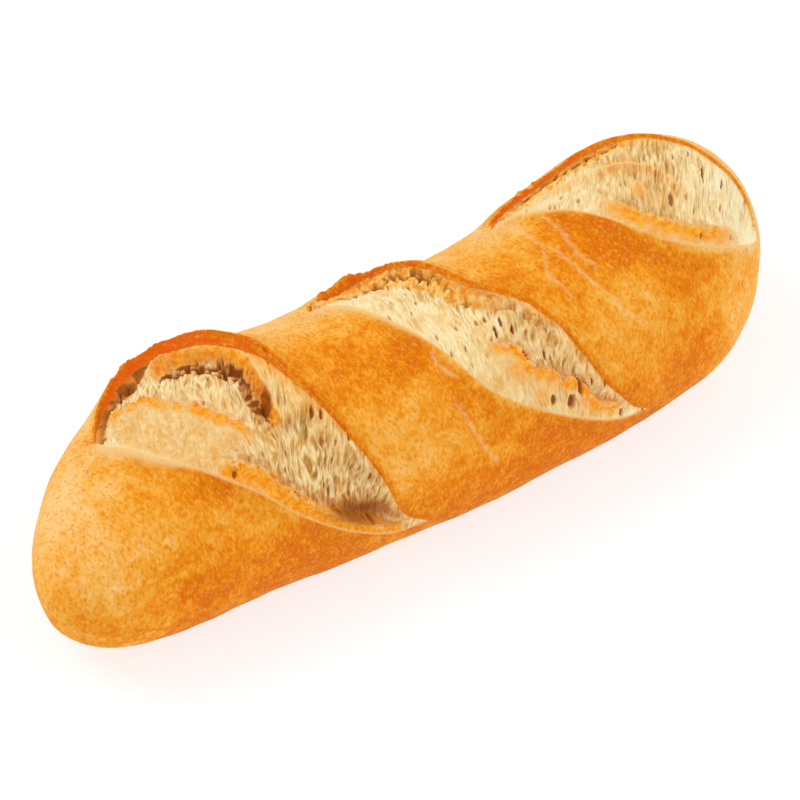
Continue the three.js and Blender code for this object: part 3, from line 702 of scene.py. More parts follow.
class Tear:
    """The relief and the looks of one slash, built up step by step on a grid (x, v) of the unrolled skin.

    s is a point's share of the way from tip to tip. near and far are its distances inside the ragged lips,
    and torn_far is the far one, torn more. cross stays the same along a fibre, and strand is from 0 between
    fibres to 1 on them. height is over the plain loaf. gold, skin, glow, dark, grit and clump say
    from 0 to 1 how toasted, mottled, lit by painted highlight, darkened by painted shade, lumpy and clumped
    the crumb is. Each noise adds a number of its own to the slash's seed."""

    def __init__(self, slash, x, v):
        self.slash, self.seed, self.x, self.v = slash, slash["seed"], x, v
        first, last = slash["near"][0, :2], slash["near"][-1, :2]
        span = last - first
        self.s = np.clip(((x - first[0]) * span[0] + (v - first[1]) * span[1]) / (span @ span), 0, 1)
        self.tear_lips()
        self.lay_bed()
        self.raise_foot()
        self.add_clumps()
        for k, shelf in enumerate(slash["shelves"]):
            self.add_shelf(shelf, k)
        self.add_tints()
        self.raise_ear()
        self.cut_cavities()
        self.cut_pores()
        self.cut_holes()
        self.add_shadows()
        self.add_fibres()

    def value(self, name):
        """One of the slash's tables, at every point."""
        return along(self.slash[name], self.s)

    def noise(self, size, own):
        """Smooth noise, size mm wide."""
        return ripple(self.x, self.v, size, self.seed + own)

    def moved(self, amount, own):
        """The points, moved so that a line drawn on them is ragged."""
        return ragged(self.x, self.v, amount, self.seed + own)

    def show(self, look, amount):
        """Brings a look up to an amount where it is less."""
        setattr(self, look, np.maximum(getattr(self, look), amount))

    def sink(self, pit, depth, dark):
        """Lowers the ground where pit is 1, and darkens it there with painted shade."""
        self.height -= depth * pit
        self.show("dark", dark * pit)

    def tear_lips(self):
        """The lips, made ragged. The ear's crest has teeth of noise 3 mm and 1 mm wide."""
        found = lips(self.slash, self.x, self.v)
        self.true_near, self.true_far, self.near_height, self.far_height, self.place = found
        jag = self.value("jag")
        jag_x, jag_v = self.moved(1.0, 40)
        self.rough = 0.7 * (jag_x - self.x) + 0.7 * (jag_v - self.v)
        teeth = np.abs(self.noise(3.1, 44)) + 0.5 * np.abs(self.noise(1.2, 45))
        crest = self.far_height * (1 - 0.45 * jag * (1 - teeth)) + 0.35 * jag * self.rough
        self.crest_height = mixed(eased(self.far_height, 0.3, 1.5), self.far_height, crest)
        self.far = self.true_far + jag * 0.8 * self.rough * eased(self.true_far, -1.5, 0)
        self.near = self.true_near + 0.1 * self.rough * eased(self.true_near, -0.5, 0.3)
        self.torn_far = self.far + 0.35 * self.rough
        self.inside = eased(np.minimum(self.near, self.far), 0, BED_EASE)

    def lay_bed(self):
        """The bed is deepest at its lowest place. It rises from there to the ear as t^1.7, and to the near
        lip as t^2.3 where it rounds over, t being the share of the way. Where it rounds over its strands
        are faint. way goes from 0 at the near lip to 1 at the far one."""
        width = np.maximum(self.near, 0) + np.maximum(self.far, 0) + TINY
        way = np.maximum(self.near, 0) / width
        lowest, convex = self.value("lowest"), self.value("convex")
        strand, self.cross = strands(self.slash, self.x, self.v)
        self.strand = mixed(0.55 * convex * eased(way, 0.8, 0.4), strand, 0.6)
        rounded = 1 - share((lowest - way) / lowest, 0, 1) ** 2.3
        dropping = mixed(convex, rounded, eased(way / lowest, 0, 1) ** 1.3)
        rising = 1 - share((way - lowest) / (1 - lowest), 0, 1) ** 1.7
        room = eased(width, 0.5, 8)
        drop = self.value("depth") * room * np.where(way < lowest, dropping, rising)
        self.height = self.near_height * (1 - eased(way, 0, 0.6)) - drop
        waves = 0.4 * ripple(self.cross, self.v, (6, 9), self.seed + 5)
        self.height += waves * room * eased(self.near, 0, 3)

    def raise_foot(self):
        """The ground that rises to the ear's foot, toasted close to it."""
        self.band, self.slope = self.value("band"), self.value("slope")
        self.foot = np.minimum(self.value("foot"), 0.75 * self.crest_height)
        self.height = mixed(eased(self.torn_far, self.band + self.slope, self.band), self.height, self.foot)
        self.gold = self.value("toast") * eased(self.torn_far, self.band + 1.8, self.band)
        self.skin, self.glow, self.dark, self.grit = (np.zeros(self.x.shape) for _ in range(4))

    def add_clumps(self):
        """Domes of crumb, one in every cell of 1.55 by 1.35 mm, with gaps between them darkened by painted
        shade. They lie on the ground that rises to the ear's foot. A few more have places of their own."""
        self.clump = self.value("clumps") * eased(self.torn_far, self.band - 0.1, self.band + 0.3)
        self.clump *= eased(self.torn_far, self.band + self.slope, self.band + self.slope - 0.8)
        lump_x, lump_v = self.moved(0.22, 60)
        gap, own = spots(lump_x / CLUMP_SIZE[0], lump_v / CLUMP_SIZE[1], self.seed + 61, 0.85)
        lump = dome(gap / (0.52 + 0.16 * own))
        self.height += self.clump * (0.85 * lump * (0.6 + 0.6 * own) - 0.3)
        self.show("dark", 0.65 * self.clump * eased(lump, 0.2, 0.0) * eased(own, 0.2, 0.7))
        for x, v, radius, rise in self.slash["bumps"]:
            bump = dome(np.hypot(lump_x - x, lump_v - v) / radius) * (self.far > 0)
            self.height += rise * bump
            self.show("clump", bump)

    def add_shelf(self, shelf, k):
        """A torn sheet from the near lip, or from the ear's foot, to a ragged edge line. Its broken face
        falls from the edge to the bed, with painted shadow under it, and a painted highlight runs along the
        edge. way goes from 0 where the sheet starts to 1 at its edge, and it sags as 4 way (1 - way)."""
        near_side, fall = shelf["side"] < 0, shelf["fall"]
        gap, at, level = beside(smooth_line(shelf["line"]), *self.moved(shelf["ragged"], 50 + 10 * k))
        over = shelf["side"] * gap
        ends = eased(at, 0, shelf["ends"]) * eased(at, 1, 1 - shelf["ends"])
        rest = np.maximum(self.near if near_side else self.far - self.band, 0)
        way = rest / (rest + np.abs(gap) + TINY)
        sheet = mixed(way, self.near_height if near_side else self.foot, level)
        sheet -= shelf["dip"] * 4 * way * (1 - way)
        torn = over + fall * (0.15 * (self.strand - 0.55) + 0.3 * self.noise(1.1, 165 + k))
        climb = eased(torn, -fall, 0)
        covers = np.where(over > 0, 1, climb) * ends * eased(rest + np.abs(gap), 0.3, 1.2)
        shape = np.where(over > 0, sheet, mixed(climb, self.height, level))
        self.height = mixed(covers, self.height, shape)

        on_sheet = eased(over, -0.1, 0.1) * ends
        edge = eased(over, shelf["gold"], 0.35 * shelf["gold"]) * on_sheet
        face = eased(torn, -fall, -0.5 * fall) * eased(over, 0.1, -0.1) * ends
        patchy = 0.2 + 0.8 * eased(self.noise(2.6, 95 + k), -0.35, 0.05)
        toasted = np.maximum(edge, shelf["face"] * face) * mixed(shelf["broken"], 1, patchy)
        # the painted highlight along the edge: fainter on sheets from the near lip, and less where their gold
        # is broken
        highlight = 0.6 * (1 - shelf["broken"]) if near_side else 0.8
        below = eased(torn, -fall - 2.0, -fall - 1.2) * eased(torn, -0.6 * fall, -0.9 * fall)
        below = below * (0.25 + 0.75 * eased(self.noise(1.9, 160 + k), -0.35, 0.25))
        self.show("gold", toasted)
        self.show("glow", highlight * bell(over, 0.15, 0.25) * ends)
        self.show("skin", shelf["skin"] * on_sheet)
        self.show("dark", shelf["dark"] * ends * below)
        self.show("grit", shelf["lumpy"] * np.maximum(edge, face))

    def add_tints(self):
        """Golden patches, strongest on the strands."""
        tint_x, tint_v = self.moved(0.8, 150)
        for x, v, radius, strength in self.slash["tints"]:
            off = np.hypot(tint_x - x, tint_v - v) / radius
            self.show("gold", strength * eased(off, 1, 0.3) * mixed(0.6, 1, self.strand))

    def raise_ear(self):
        """The ear's face climbs from its foot to the crest as 0.7 t + 0.3 t^3. No crumb shows on it."""
        climb = share(self.far, self.band, 0)
        face_height = mixed(0.7 * climb + 0.3 * climb**3, self.foot, self.crest_height)
        self.on_face = eased(self.far, self.band + 0.15, self.band - 0.2)
        self.height = mixed(self.on_face, self.height, face_height)
        self.smooth = np.maximum(self.on_face, self.gold * 0.6)
        for look in ("clump", "gold", "skin"):
            setattr(self, look, getattr(self, look) * (1 - self.on_face))

    def cut_cavities(self):
        """Long cavities along a line, broken up by noise and strands, darkened by painted shade."""
        for k, cavity in enumerate(self.slash["cavities"]):
            gap, at, depth = beside(smooth_line(cavity["line"]), *self.moved(cavity["ragged"], 110 + 10 * k))
            broken = eased(self.noise(1.6, 118 + k) + 0.4 * (0.5 - self.strand), -0.5, 0.2)
            pit = eased(np.abs(gap), cavity["half"] * 1.2, cavity["half"] * 0.7) * eased(at, 0, 0.08)
            pit = pit * eased(at, 1, 0.92) * broken * (1 - self.on_face)
            self.sink(pit, 0.6 * depth, cavity["dark"])

    def cut_pores(self):
        """Small pores in the bare crumb, in about one in eight cells of 1.1 by 3.4 mm, darkened by painted
        shade.
        """
        gap, own = spots(self.cross / PORE_SIZE[0], self.v / PORE_SIZE[1], self.seed + 6)
        pores = eased(gap, 0.34, 0.1) * eased(own, 0.8, 0.97)
        pores = pores * (1 - self.smooth) * (1 - np.minimum(1.5 * self.skin, 1))
        self.height -= 0.45 * pores * self.inside
        self.show("dark", 0.55 * pores)

    def cut_holes(self):
        """Larger holes, each an ellipse drawn out along the fibres, darkened by painted shade."""
        hole_x, hole_v = self.moved(0.2, 90)
        lean, turn = self.slash["lean"]
        for x, v, long, wide, deep in self.slash["holes"]:
            bent = (hole_x - x + (lean + 2 * turn * v) * (hole_v - v)) / wide
            self.sink(eased(np.hypot(bent, (hole_v - v) / long), 1.2, 0.6), 0.65 * deep, 0.8)

    def add_shadows(self):
        """Brown shadow in the hollow under the ear's foot, and soft patches of it along the slash."""
        hollow = eased(self.torn_far, 0.55 * self.band, 0.8 * self.band)
        hollow = hollow * eased(self.torn_far, self.band + 1.7, self.band + 0.9)
        self.shade = self.value("under") * hollow * (0.4 + 0.6 * eased(self.noise(2, 170), -0.5, 0.1))
        for x, v, long, wide, strength in self.slash["shade"]:
            lengthways = (self.x - x) * SHADE_WAY[0] + (self.v - v) * SHADE_WAY[1]
            sideways = (self.v - v) * SHADE_WAY[0] - (self.x - x) * SHADE_WAY[1]
            patch = strength * bell(lengthways, 0, long) * bell(sideways, 0, wide)
            self.show("shade", patch)

    def add_fibres(self):
        """The finest relief: strands in the bare crumb, faint noise where it is toasted or mottled, lumps
        and pits on the shelves' rough edges, the pits darkened by painted shade. Outside its lips the slash
        has the crust's height."""
        relief = (0.55 - 0.42 * self.skin - 0.3 * self.clump) * (1 - np.maximum(self.smooth, 0.8 * self.grit))
        relief = relief * eased(np.minimum(self.near, self.far), 0.05, 1.0)
        self.height += relief * (self.strand - 0.5)
        self.height += 0.07 * self.noise(0.55, 7) * (self.smooth + self.skin) * self.inside
        pits = self.grit * eased(self.noise(0.8, 132), 0.4, 0.8) * (1 - self.on_face)
        self.show("dark", 0.5 * pits)
        lumps = 0.30 * self.noise(1.3, 130) + 0.16 * self.noise(0.6, 131)
        self.height += lumps * self.grit * (1 - self.on_face) * self.inside
        outside = outside_height(self.true_near, self.true_far, self.near_height, self.crest_height)
        self.height = mixed(self.inside, outside, self.height)

    def bake_and_shading(self, points):
        """How far the crust round the slash, the ear's face and its rim are baked, with the crust's
        painted light and shade. The face is streaked along the slash."""
        shade = lip_shade(self.slash, self.true_near, self.true_far, self.place)
        crust = crust_bake_and_shading(self.x, self.v, points, shade)
        streaks = ripple(100 * self.s, self.far, (5, 0.5), self.seed + 180) + 0.8 * self.noise(1.1, 181)
        face = self.value("scorched") - 0.24 * eased(streaks, -0.5, 0.9)
        rim = eased(self.far, -1.3, -0.1) * eased(self.far_height, 0.2, 0.8) * (self.true_near > 0)
        return np.maximum(crust, np.maximum(self.on_face * self.inside * face, 0.66 * rim))

    def masks(self, points):
        """What the material reads at every point. points are those of the plain loaf."""
        bare = self.inside * (1 - self.on_face)
        lip = lip_glow(self.slash, self.true_near, self.true_far, self.place)
        # pale also carries the painted highlight along the sheets' edges
        pale = np.maximum(lip, self.glow * bare)
        return {
            "crumb": bare,
            "gold": self.gold * self.inside,
            "pale": np.maximum(pale, veins(self.x, self.v) * (1 - bare)),
            # deep is painted shade: the shadows, and the darkened pits, pores, holes, cavities and gaps
            "deep": np.clip(np.maximum(self.dark * (1 - self.on_face), self.shade), 0, 1) * self.inside,
            "strand": self.strand,
            "tone": self.value("tone") + 0.1 * self.noise(5, 140),
            "skin": self.skin * self.inside,
            "clump": self.clump * self.inside,
            "bake_and_shading": self.bake_and_shading(points),
            "fibre": flat(self.cross, self.v, 0.0),
        }


# ---------------------------------------------------------------- meshes
CRUST_GRID = (541, 520)  # rows along the loaf, and points round it
CRUST_PARTS = 3
CRUST_SINK = 7.0  # how deep the crust goes under the slashes
SLASH_GRID = (205, 430)  # points across a slash, and along each of its parts
SLASH_LIFT = 0.02  # how far a slash's skin lies over the crust
SLASH_DIP = 0.07  # how far its border dips
SLASH_DEPTH = 8.0  # how deep its walls go
MARGIN = 5.0  # how far it reaches past the lips
SPINE_POINTS = 400
TIP_POINTS = 32  # closer to a tip the two lips lie too close to each other to show a way across
WAY_BLUR = 40
SPINE_BLUR = 30
END_POINTS = 12  # the last points of the spine, which it runs straight on from


def skin_points(x, angle, height):
    """Points of the loaf's skin, pushed out by height, in metres in the row frame."""
    points = plain_skin(x, angle) + outward(x, angle) * height[..., None]
    points[..., 1] -= SIDE_SHIFT
    return points * MM


def grid_normals(points, closed):
    """Unit normals of a grid of points: the cross product of its slopes along and across."""
    if closed:
        wrapped = np.concatenate([points[:, -1:], points, points[:, :1]], 1)
        across = np.gradient(wrapped, axis=1)[:, 1:-1]
    else:
        across = np.gradient(points, axis=1)
    normals = np.cross(np.gradient(points, axis=0), across)
    return normals / np.maximum(np.linalg.norm(normals, axis=-1, keepdims=True), 1e-12)


def grid_faces(rows, columns, closed):
    """Quads of a grid of rows times columns points, numbered row by row. A closed grid joins its last
    column to its first."""
    row = np.arange(rows - 1)[:, None]
    column = np.arange(columns if closed else columns - 1)[None, :]
    beyond = (column + 1) % columns
    near, far = row * columns, (row + 1) * columns
    return np.stack([near + column, near + beyond, far + beyond, far + column], -1).reshape(-1, 4)


def border(rows, columns):
    """The numbers of a grid's border points, once round it."""
    row, column = np.arange(rows) * columns, np.arange(columns)
    return np.concatenate(
        [column[:-1], (row + columns - 1)[:-1], ((rows - 1) * columns + column)[:0:-1], row[:0:-1]]
    )


def fan(loop, point, turned):
    """Triangles from each step of a loop to one point."""
    ahead = np.roll(loop, -1)
    ends = (ahead, loop) if turned else (loop, ahead)
    return np.stack([*ends, np.full(len(loop), point)], -1)


def make_piece(name, points, normals, quads, triangles, masks, material):
    """One piece from its points, its faces, a normal for each point and the masks that its material reads.
    The faces all turn the same way, and are turned over here if that isn't the way of the normals."""
    start, second, third = (points[quads[:, k]] for k in range(3))
    facing = np.sum(np.cross(second - start, third - start) * normals[quads[:, 0]])
    if facing < 0:
        quads, triangles = quads[:, ::-1], triangles[:, ::-1]
    mesh = bpy.data.meshes.new(name)
    mesh.from_pydata(points, [], quads.tolist() + triangles.tolist())
    for mask, values in masks.items():
        values = np.asarray(values, np.float32)
        kind, field = ("FLOAT", "value") if values.ndim == 1 else ("FLOAT_VECTOR", "vector")
        mesh.attributes.new(mask, kind, "POINT").data.foreach_set(field, values.ravel())
    mesh.polygons.foreach_set("use_smooth", np.ones(len(mesh.polygons), bool))
    mesh.materials.append(material)
    mesh.normals_split_custom_set_from_vertices(normals)
    piece = bpy.data.objects.new(name, mesh)
    bpy.context.scene.collection.objects.link(piece)
    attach(piece, "root")
    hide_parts("loaf")


def crust_pieces(material):
    """The whole crust. Rows run along the loaf, crowded towards the tips as the sine does, and each goes
    once round it. Under the slashes it sinks 7 mm, out of sight. It is split between rows into parts. A
    point at each tip closes the skin, and a point inside the loaf closes each cut."""
    rows, columns = CRUST_GRID
    turn = np.linspace(-np.pi / 2, np.pi / 2, rows + 2)[1:-1]
    x = HALF * (0.9 * np.sin(turn) + 0.1 * np.sin(turn) ** 3)[:, None]
    angle = np.linspace(-180, 180, columns, endpoint=False)[None, :]
    x, angle = np.broadcast_arrays(x, angle)
    v = unrolled(angle)
    relief, opening, shade, pale = crust_relief(x, v)
    base = plain_skin(x, angle)
    height = relief + crust_swell(base) - CRUST_SINK * eased(opening, -1.8, 0.4)
    points = skin_points(x, angle, height)
    normals = grid_normals(points, closed=True)
    if normals[rows // 2, columns // 2, 2] < 0:
        normals = -normals
    masks = {"bake_and_shading": crust_bake_and_shading(x, v, base, shade), "pale": np.maximum(pale, veins(x, v))}
    cuts = [(rows - 1) * part // CRUST_PARTS for part in range(CRUST_PARTS + 1)]
    for part, (top, bottom) in enumerate(zip(cuts, cuts[1:])):
        chosen = slice(top, bottom + 1)
        middles = [points[row].mean(0) for row in (top, bottom)]
        if top == 0:
            middles[0][0] = -HALF * MM
        if bottom == rows - 1:
            middles[1][0] = HALF * MM
        rings = points[chosen].reshape(-1, 3)
        ring = np.arange(columns)
        last_ring = ring + (bottom - top) * columns
        caps = np.vstack([fan(ring, len(rings), True), fan(last_ring, len(rings) + 1, False)])
        make_piece(
            f"golden_crust_{part + 1}",
            np.vstack([rings, middles]),
            np.vstack([normals[chosen].reshape(-1, 3), [(-1, 0, 0), (1, 0, 0)]]),
            grid_faces(bottom + 1 - top, columns, closed=True),
            caps,
            {key: np.append(values[chosen], values[[top, bottom], 0]) for key, values in masks.items()},
            material,
        )


def places_on(path, run, at):
    """The (x, v) of a path at lengths from its start. run is the length up to each of its points."""
    return np.stack([np.interp(at, run, path[:, k]) for k in (0, 1)], -1)


def resampled(line, count):
    """Evenly spread places (x, v) on a line, from its start to its end."""
    run = lengths(line)
    return places_on(line, run, np.linspace(0, 1, count) * run[-1])


def smoothed(path, width):
    """Each coordinate averaged with a bell-shaped weight over width points, ends carried straight on."""
    kernel = np.hanning(2 * width + 1) / np.hanning(2 * width + 1).sum()
    padded = [np.pad(path[:, k], width, mode="reflect", reflect_type="odd") for k in (0, 1)]
    return np.stack([np.convolve(column, kernel, "valid") for column in padded], -1)


def slash_grid(slash, rows, columns):
    """Places (x, v) on a grid over a slash. Its spine runs midway between the lips and straight on past
    each tip. Its cross lines point from lip to lip. It reaches 5 mm past the lips and the tips."""
    near, far = resampled(slash["near"], SPINE_POINTS), resampled(slash["far"], SPINE_POINTS)
    half = np.linalg.norm(far - near, axis=1) / 2
    way = (far - near) / np.maximum(2 * half[:, None], TINY)
    way[:TIP_POINTS], way[-TIP_POINTS:] = way[TIP_POINTS], way[-TIP_POINTS - 1]
    way = smoothed(way, WAY_BLUR)
    way /= np.linalg.norm(way, axis=1, keepdims=True)
    spine = smoothed((near + far) / 2, SPINE_BLUR)
    start, end = spine[0] - spine[END_POINTS], spine[-1] - spine[-END_POINTS - 1]
    before = spine[0] + MARGIN * start / np.linalg.norm(start)
    after = spine[-1] + MARGIN * end / np.linalg.norm(end)
    spine = np.vstack([before, spine, after])
    way = np.vstack([way[:1], way, way[-1:]])
    half = np.concatenate([[0], half, [0]])
    run = lengths(spine)
    place = np.linspace(0, run[-1], columns)
    centre, cross = places_on(spine, run, place), places_on(way, run, place)
    reach = np.interp(place, run, half) + MARGIN
    across = np.linspace(-1, 1, rows)[:, None]
    return centre[:, 0] + cross[:, 0] * across * reach, centre[:, 1] + cross[:, 1] * across * reach


def slash_pieces(slash, material):
    """The skin over one slash, worked out whole and split along the slash into parts that share the points
    between them. It lies 0.02 mm over the crust, and its border dips 0.05 mm under it. Each part's border
    goes straight down into the loaf for 8 mm, and is closed by a fan to one point."""
    rows, columns = SLASH_GRID
    parts, step = slash["parts"], columns - 1
    columns = parts * step + 1
    x, v = slash_grid(slash, rows, columns)
    angle = rolled(v)
    tear = Tear(slash, x, v)
    base = plain_skin(x, angle)
    from_side, from_end = (np.minimum(np.arange(n), np.arange(n)[::-1]) for n in (rows, columns))
    height = tear.height + crust_swell(base)
    height = height + SLASH_LIFT - SLASH_DIP * eased(np.minimum(from_side[:, None], from_end), 4, 0)
    points = skin_points(x, angle, height)
    normals = grid_normals(points, closed=False)
    out = outward(x, angle)
    if normals[rows // 2, columns // 2] @ out[rows // 2, columns // 2] < 0:
        normals = -normals
    masks = tear.masks(base)
    loop = border(rows, step + 1)
    for part in range(parts):
        chosen = (slice(None), slice(part * step, (part + 1) * step + 1))
        top, top_normals, top_out = (field[chosen].reshape(-1, 3) for field in (points, normals, out))
        down = top[loop] - SLASH_DEPTH * MM * top_out[loop]
        wall = len(top) + np.arange(len(loop))
        walls = np.stack([np.roll(loop, -1), loop, wall, np.roll(wall, -1)], -1)
        own = {}
        for mask, values in masks.items():
            values = values[chosen].reshape(len(top), -1)
            own[mask] = np.vstack([values, values[loop], values[:1]]).squeeze()
        make_piece(
            f"{slash['name']}_slash" + (f"_{part + 1}" if parts > 1 else ""),
            np.vstack([top, down, down.mean(0)]),
            np.vstack([top_normals, top_normals[loop], -top_out[:1]]),
            np.vstack([grid_faces(rows, step + 1, closed=False), walls]),
            fan(wall, len(top) + len(loop), True),
            own,
            material,
        )


# ---------------------------------------------------------------- materials
CRUST_COLOURS = [
    (0.0, "#f9cc84"), (1.0, "#e85c00"), (0.2, "#f8bd62"), (0.42, "#f4a630"), (0.62, "#ea8804"),
    (0.8, "#da6e02"),
]
# From the brown of the painted shade between strands, at 0, to the cream of the strands, at 1.
CRUMB_COLOURS = [
    (0.0, "#98602a"), (1.0, "#fff0c2"), (0.24, "#c08c48"), (0.44, "#dbac66"), (0.62, "#efcb8c"),
    (0.8, "#fbe0a4"),
]
GRAIN_STRETCH = (1.0, 0.6, 0.55)  # crust grain is finest along the loaf
THREAD_STRETCH = (3.6, 0.42, 1.0)  # threads for each millimetre, across and along the fibres
BUMP_HEIGHT = 0.35 * MM


def linear(code):
    """An sRGB hex colour as linear red, green, blue and 1."""
    parts = [int(code[i : i + 2], 16) / 255 for i in (1, 3, 5)]
    return [c / 12.92 if c <= 0.04045 else ((c + 0.055) / 1.055) ** 2.4 for c in parts] + [1.0]


class Nodes:
    """The nodes of one material. Each function adds a node and gives back its output."""

    def __init__(self, name):
        self.material = bpy.data.materials.new(name)
        self.material.use_nodes = True
        self.tree = self.material.node_tree
        self.tree.nodes.clear()
        self.place = self.add("ShaderNodeTexCoord", output="Object")

    def add(self, kind, inputs=None, output=0, **settings):
        """Any node. Each input is a link, a hex colour or a number."""
        made = self.tree.nodes.new(kind)
        for key, value in settings.items():
            setattr(made, key, value)
        for key, value in (inputs or {}).items():
            if isinstance(value, bpy.types.NodeSocket):
                self.tree.links.new(value, made.inputs[key])
            else:
                made.inputs[key].default_value = linear(value) if isinstance(value, str) else value
        return made.outputs[output]

    def noise(self, scale, detail, rough, where=None):
        """Smooth noise with scale waves for each metre, or for each step of where."""
        where = self.place if where is None else where
        inputs = {"Vector": where, "Scale": scale, "Detail": detail, "Roughness": rough}
        return self.add("ShaderNodeTexNoise", inputs)

    def stretched(self, where, scale):
        return self.add("ShaderNodeMapping", {"Vector": where, "Scale": scale})

    def spread(self, value, low, high, to_low=0.0, to_high=1.0):
        """A value carried from low .. high to to_low .. to_high, with flat ends."""
        inputs = {0: value, 1: low, 2: high, 3: to_low, 4: to_high}
        return self.add("ShaderNodeMapRange", inputs, interpolation_type="SMOOTHSTEP")

    def sum(self, a, b):
        return self.add("ShaderNodeMath", {0: a, 1: b}, operation="ADD")

    def times(self, a, b):
        return self.add("ShaderNodeMath", {0: a, 1: b}, operation="MULTIPLY")

    def mix(self, amount, a, b):
        """Colour a, turned into colour b by amount."""
        return self.add("ShaderNodeMix", {0: amount, 6: a, 7: b}, output=2, data_type="RGBA")

    def mask(self, attribute, output="Fac"):
        return self.add("ShaderNodeAttribute", output=output, attribute_name=attribute)

    def ramp(self, value, stops):
        """The colour at a value, between stops (place, colour). The first two stops are those at 0 and 1."""
        made = self.tree.nodes.new("ShaderNodeValToRGB")
        for k, (place, code) in enumerate(stops):
            stop = made.color_ramp.elements[k] if k < 2 else made.color_ramp.elements.new(place)
            stop.position = place
            stop.color = linear(code)
        self.tree.links.new(value, made.inputs[0])
        return made.outputs[0]


def crust_colour(nodes):
    """The bake, with its painted light and shade, decides the colour. Blotches 3 mm wide and grain 0.7 mm
    wide push it up and down, and specks half a millimetre wide turn it to cream or to deep orange."""
    girth = nodes.stretched(nodes.place, GRAIN_STRETCH)
    bake_and_shading = nodes.mask("bake_and_shading")
    blotch = nodes.spread(nodes.noise(330, 2, 0.6), 0.3, 0.7, -0.08, 0.08)
    grain = nodes.spread(nodes.noise(1500, 3, 0.7, girth), 0.36, 0.64, -0.085, 0.085)
    colour = nodes.ramp(nodes.sum(bake_and_shading, nodes.sum(blotch, grain)), CRUST_COLOURS)
    plain = nodes.spread(bake_and_shading, 0.8, 0.95, 1.0, 0.2)
    speck = nodes.noise(1900, 2, 0.6, girth)
    colour = nodes.mix(nodes.times(plain, nodes.spread(speck, 0.5, 0.72, 0, 0.32)), colour, "#ffc468")
    colour = nodes.mix(nodes.times(plain, nodes.spread(speck, 0.28, 0.5, 0.6, 0)), colour, "#dc6e00")
    return nodes.mix(nodes.mask("pale"), colour, "#f6c987")


def crumb_colour(nodes, crust, thread):
    """Strands are cream and the gaps between them brown, which is painted shade. Over that lie warm
    patches 4 mm wide, the mottled skin of the shelves, clumps, toasted crumb, pale lips, painted highlights
    along the sheets' edges and, over all, painted brown shadow in two steps."""
    strand = nodes.sum(nodes.times(nodes.mask("strand"), 0.8), nodes.times(thread, 0.36))
    colour = nodes.ramp(nodes.sum(strand, nodes.mask("tone")), CRUMB_COLOURS)
    warm = nodes.spread(nodes.noise(230, 3, 0.6), 0.5, 0.66)
    colour = nodes.mix(nodes.times(warm, 0.35), colour, "#f0b654")
    mottling = nodes.sum(nodes.noise(900, 4, 0.7), nodes.times(nodes.noise(260, 2, 0.5), 0.5))
    skin = nodes.mix(nodes.spread(mottling, 0.6, 0.86), "#f6cf8e", "#eca640")
    colour = nodes.mix(nodes.times(nodes.mask("skin"), 0.85), colour, skin)
    clump = nodes.mix(nodes.spread(nodes.noise(700, 2, 0.6), 0.35, 0.65), "#f8a020", "#ffd67e")
    colour = nodes.mix(nodes.times(nodes.mask("clump"), 0.95), colour, clump)
    golden = nodes.mix(nodes.spread(nodes.noise(900, 3, 0.65), 0.36, 0.64), "#f98d06", "#ffb93c")
    colour = nodes.mix(nodes.mask("gold"), colour, golden)
    colour = nodes.mix(nodes.mask("pale"), colour, "#fdd996")
    colour = nodes.mix(nodes.mask("crumb"), crust, colour)
    deep = nodes.mask("deep")
    colour = nodes.mix(nodes.spread(deep, 0, 0.55, 0, 0.72), colour, "#d08230")
    return nodes.mix(nodes.spread(deep, 0.3, 1, 0, 0.9), colour, "#8c3e06")


def bread_material(name, torn):
    """Baked wheat crust and, where torn is true, the crumb of its slashes."""
    nodes = Nodes(name)
    colour = crust_colour(nodes)
    grain = nodes.sum(nodes.noise(1500, 2, 0.6), nodes.noise(2900, 1, 0.5))
    if torn:
        fibre = nodes.stretched(nodes.mask("fibre", "Vector"), THREAD_STRETCH)
        thread = nodes.spread(nodes.noise(1.0, 3, 0.65, fibre), 0.3, 0.7)
        colour = crumb_colour(nodes, colour, thread)
        grain = nodes.sum(grain, nodes.times(thread, 1.2))
    bump = nodes.add("ShaderNodeBump", {"Height": grain, "Strength": 0.35, "Distance": BUMP_HEIGHT})
    rough = nodes.spread(nodes.noise(700, 2, 0.5), 0.3, 0.7, 0.52, 0.7)
    looks = {"Base Color": colour, "Roughness": rough, "Normal": bump, "Specular IOR Level": 0.05}
    shader = nodes.add("ShaderNodeBsdfPrincipled", looks)
    surface = nodes.tree.nodes.new("ShaderNodeOutputMaterial")
    nodes.tree.links.new(shader, surface.inputs["Surface"])
    return nodes.material


# ---------------------------------------------------------------- the loaf
side = plain_skin(np.linspace(-HALF, HALF, 2001)[:, None], np.linspace(-180, 180, 721)[None, :])[..., 1]
SIDE_SHIFT = (side.min() + side.max()) / 2

crust_pieces(bread_material("baked_wheat_crust", torn=False))
crumb_material = bread_material("torn_wheat_crumb", torn=True)
for slash in SLASHES:
    slash_pieces(slash, crumb_material)


# ---------------------------------------------------------------- stage, light and camera
FLOOR_HALF = 6.0
FLOOR_GLOW = 0.72
WORLD_LIGHT = 0.76
ELEVATION = np.radians(44.0)
BEARING = np.radians(41.68)
CAMERA_DISTANCE = 1.2
SENSOR = 36.0
PIXELS_PER_METRE = 4960.0
FRAME_WIDTH = 800
AIM_HEIGHT = 24.6
AIM_PIXELS = (0.8, 27.7)  # the middle of the picture lies this far left of and below the aimed point
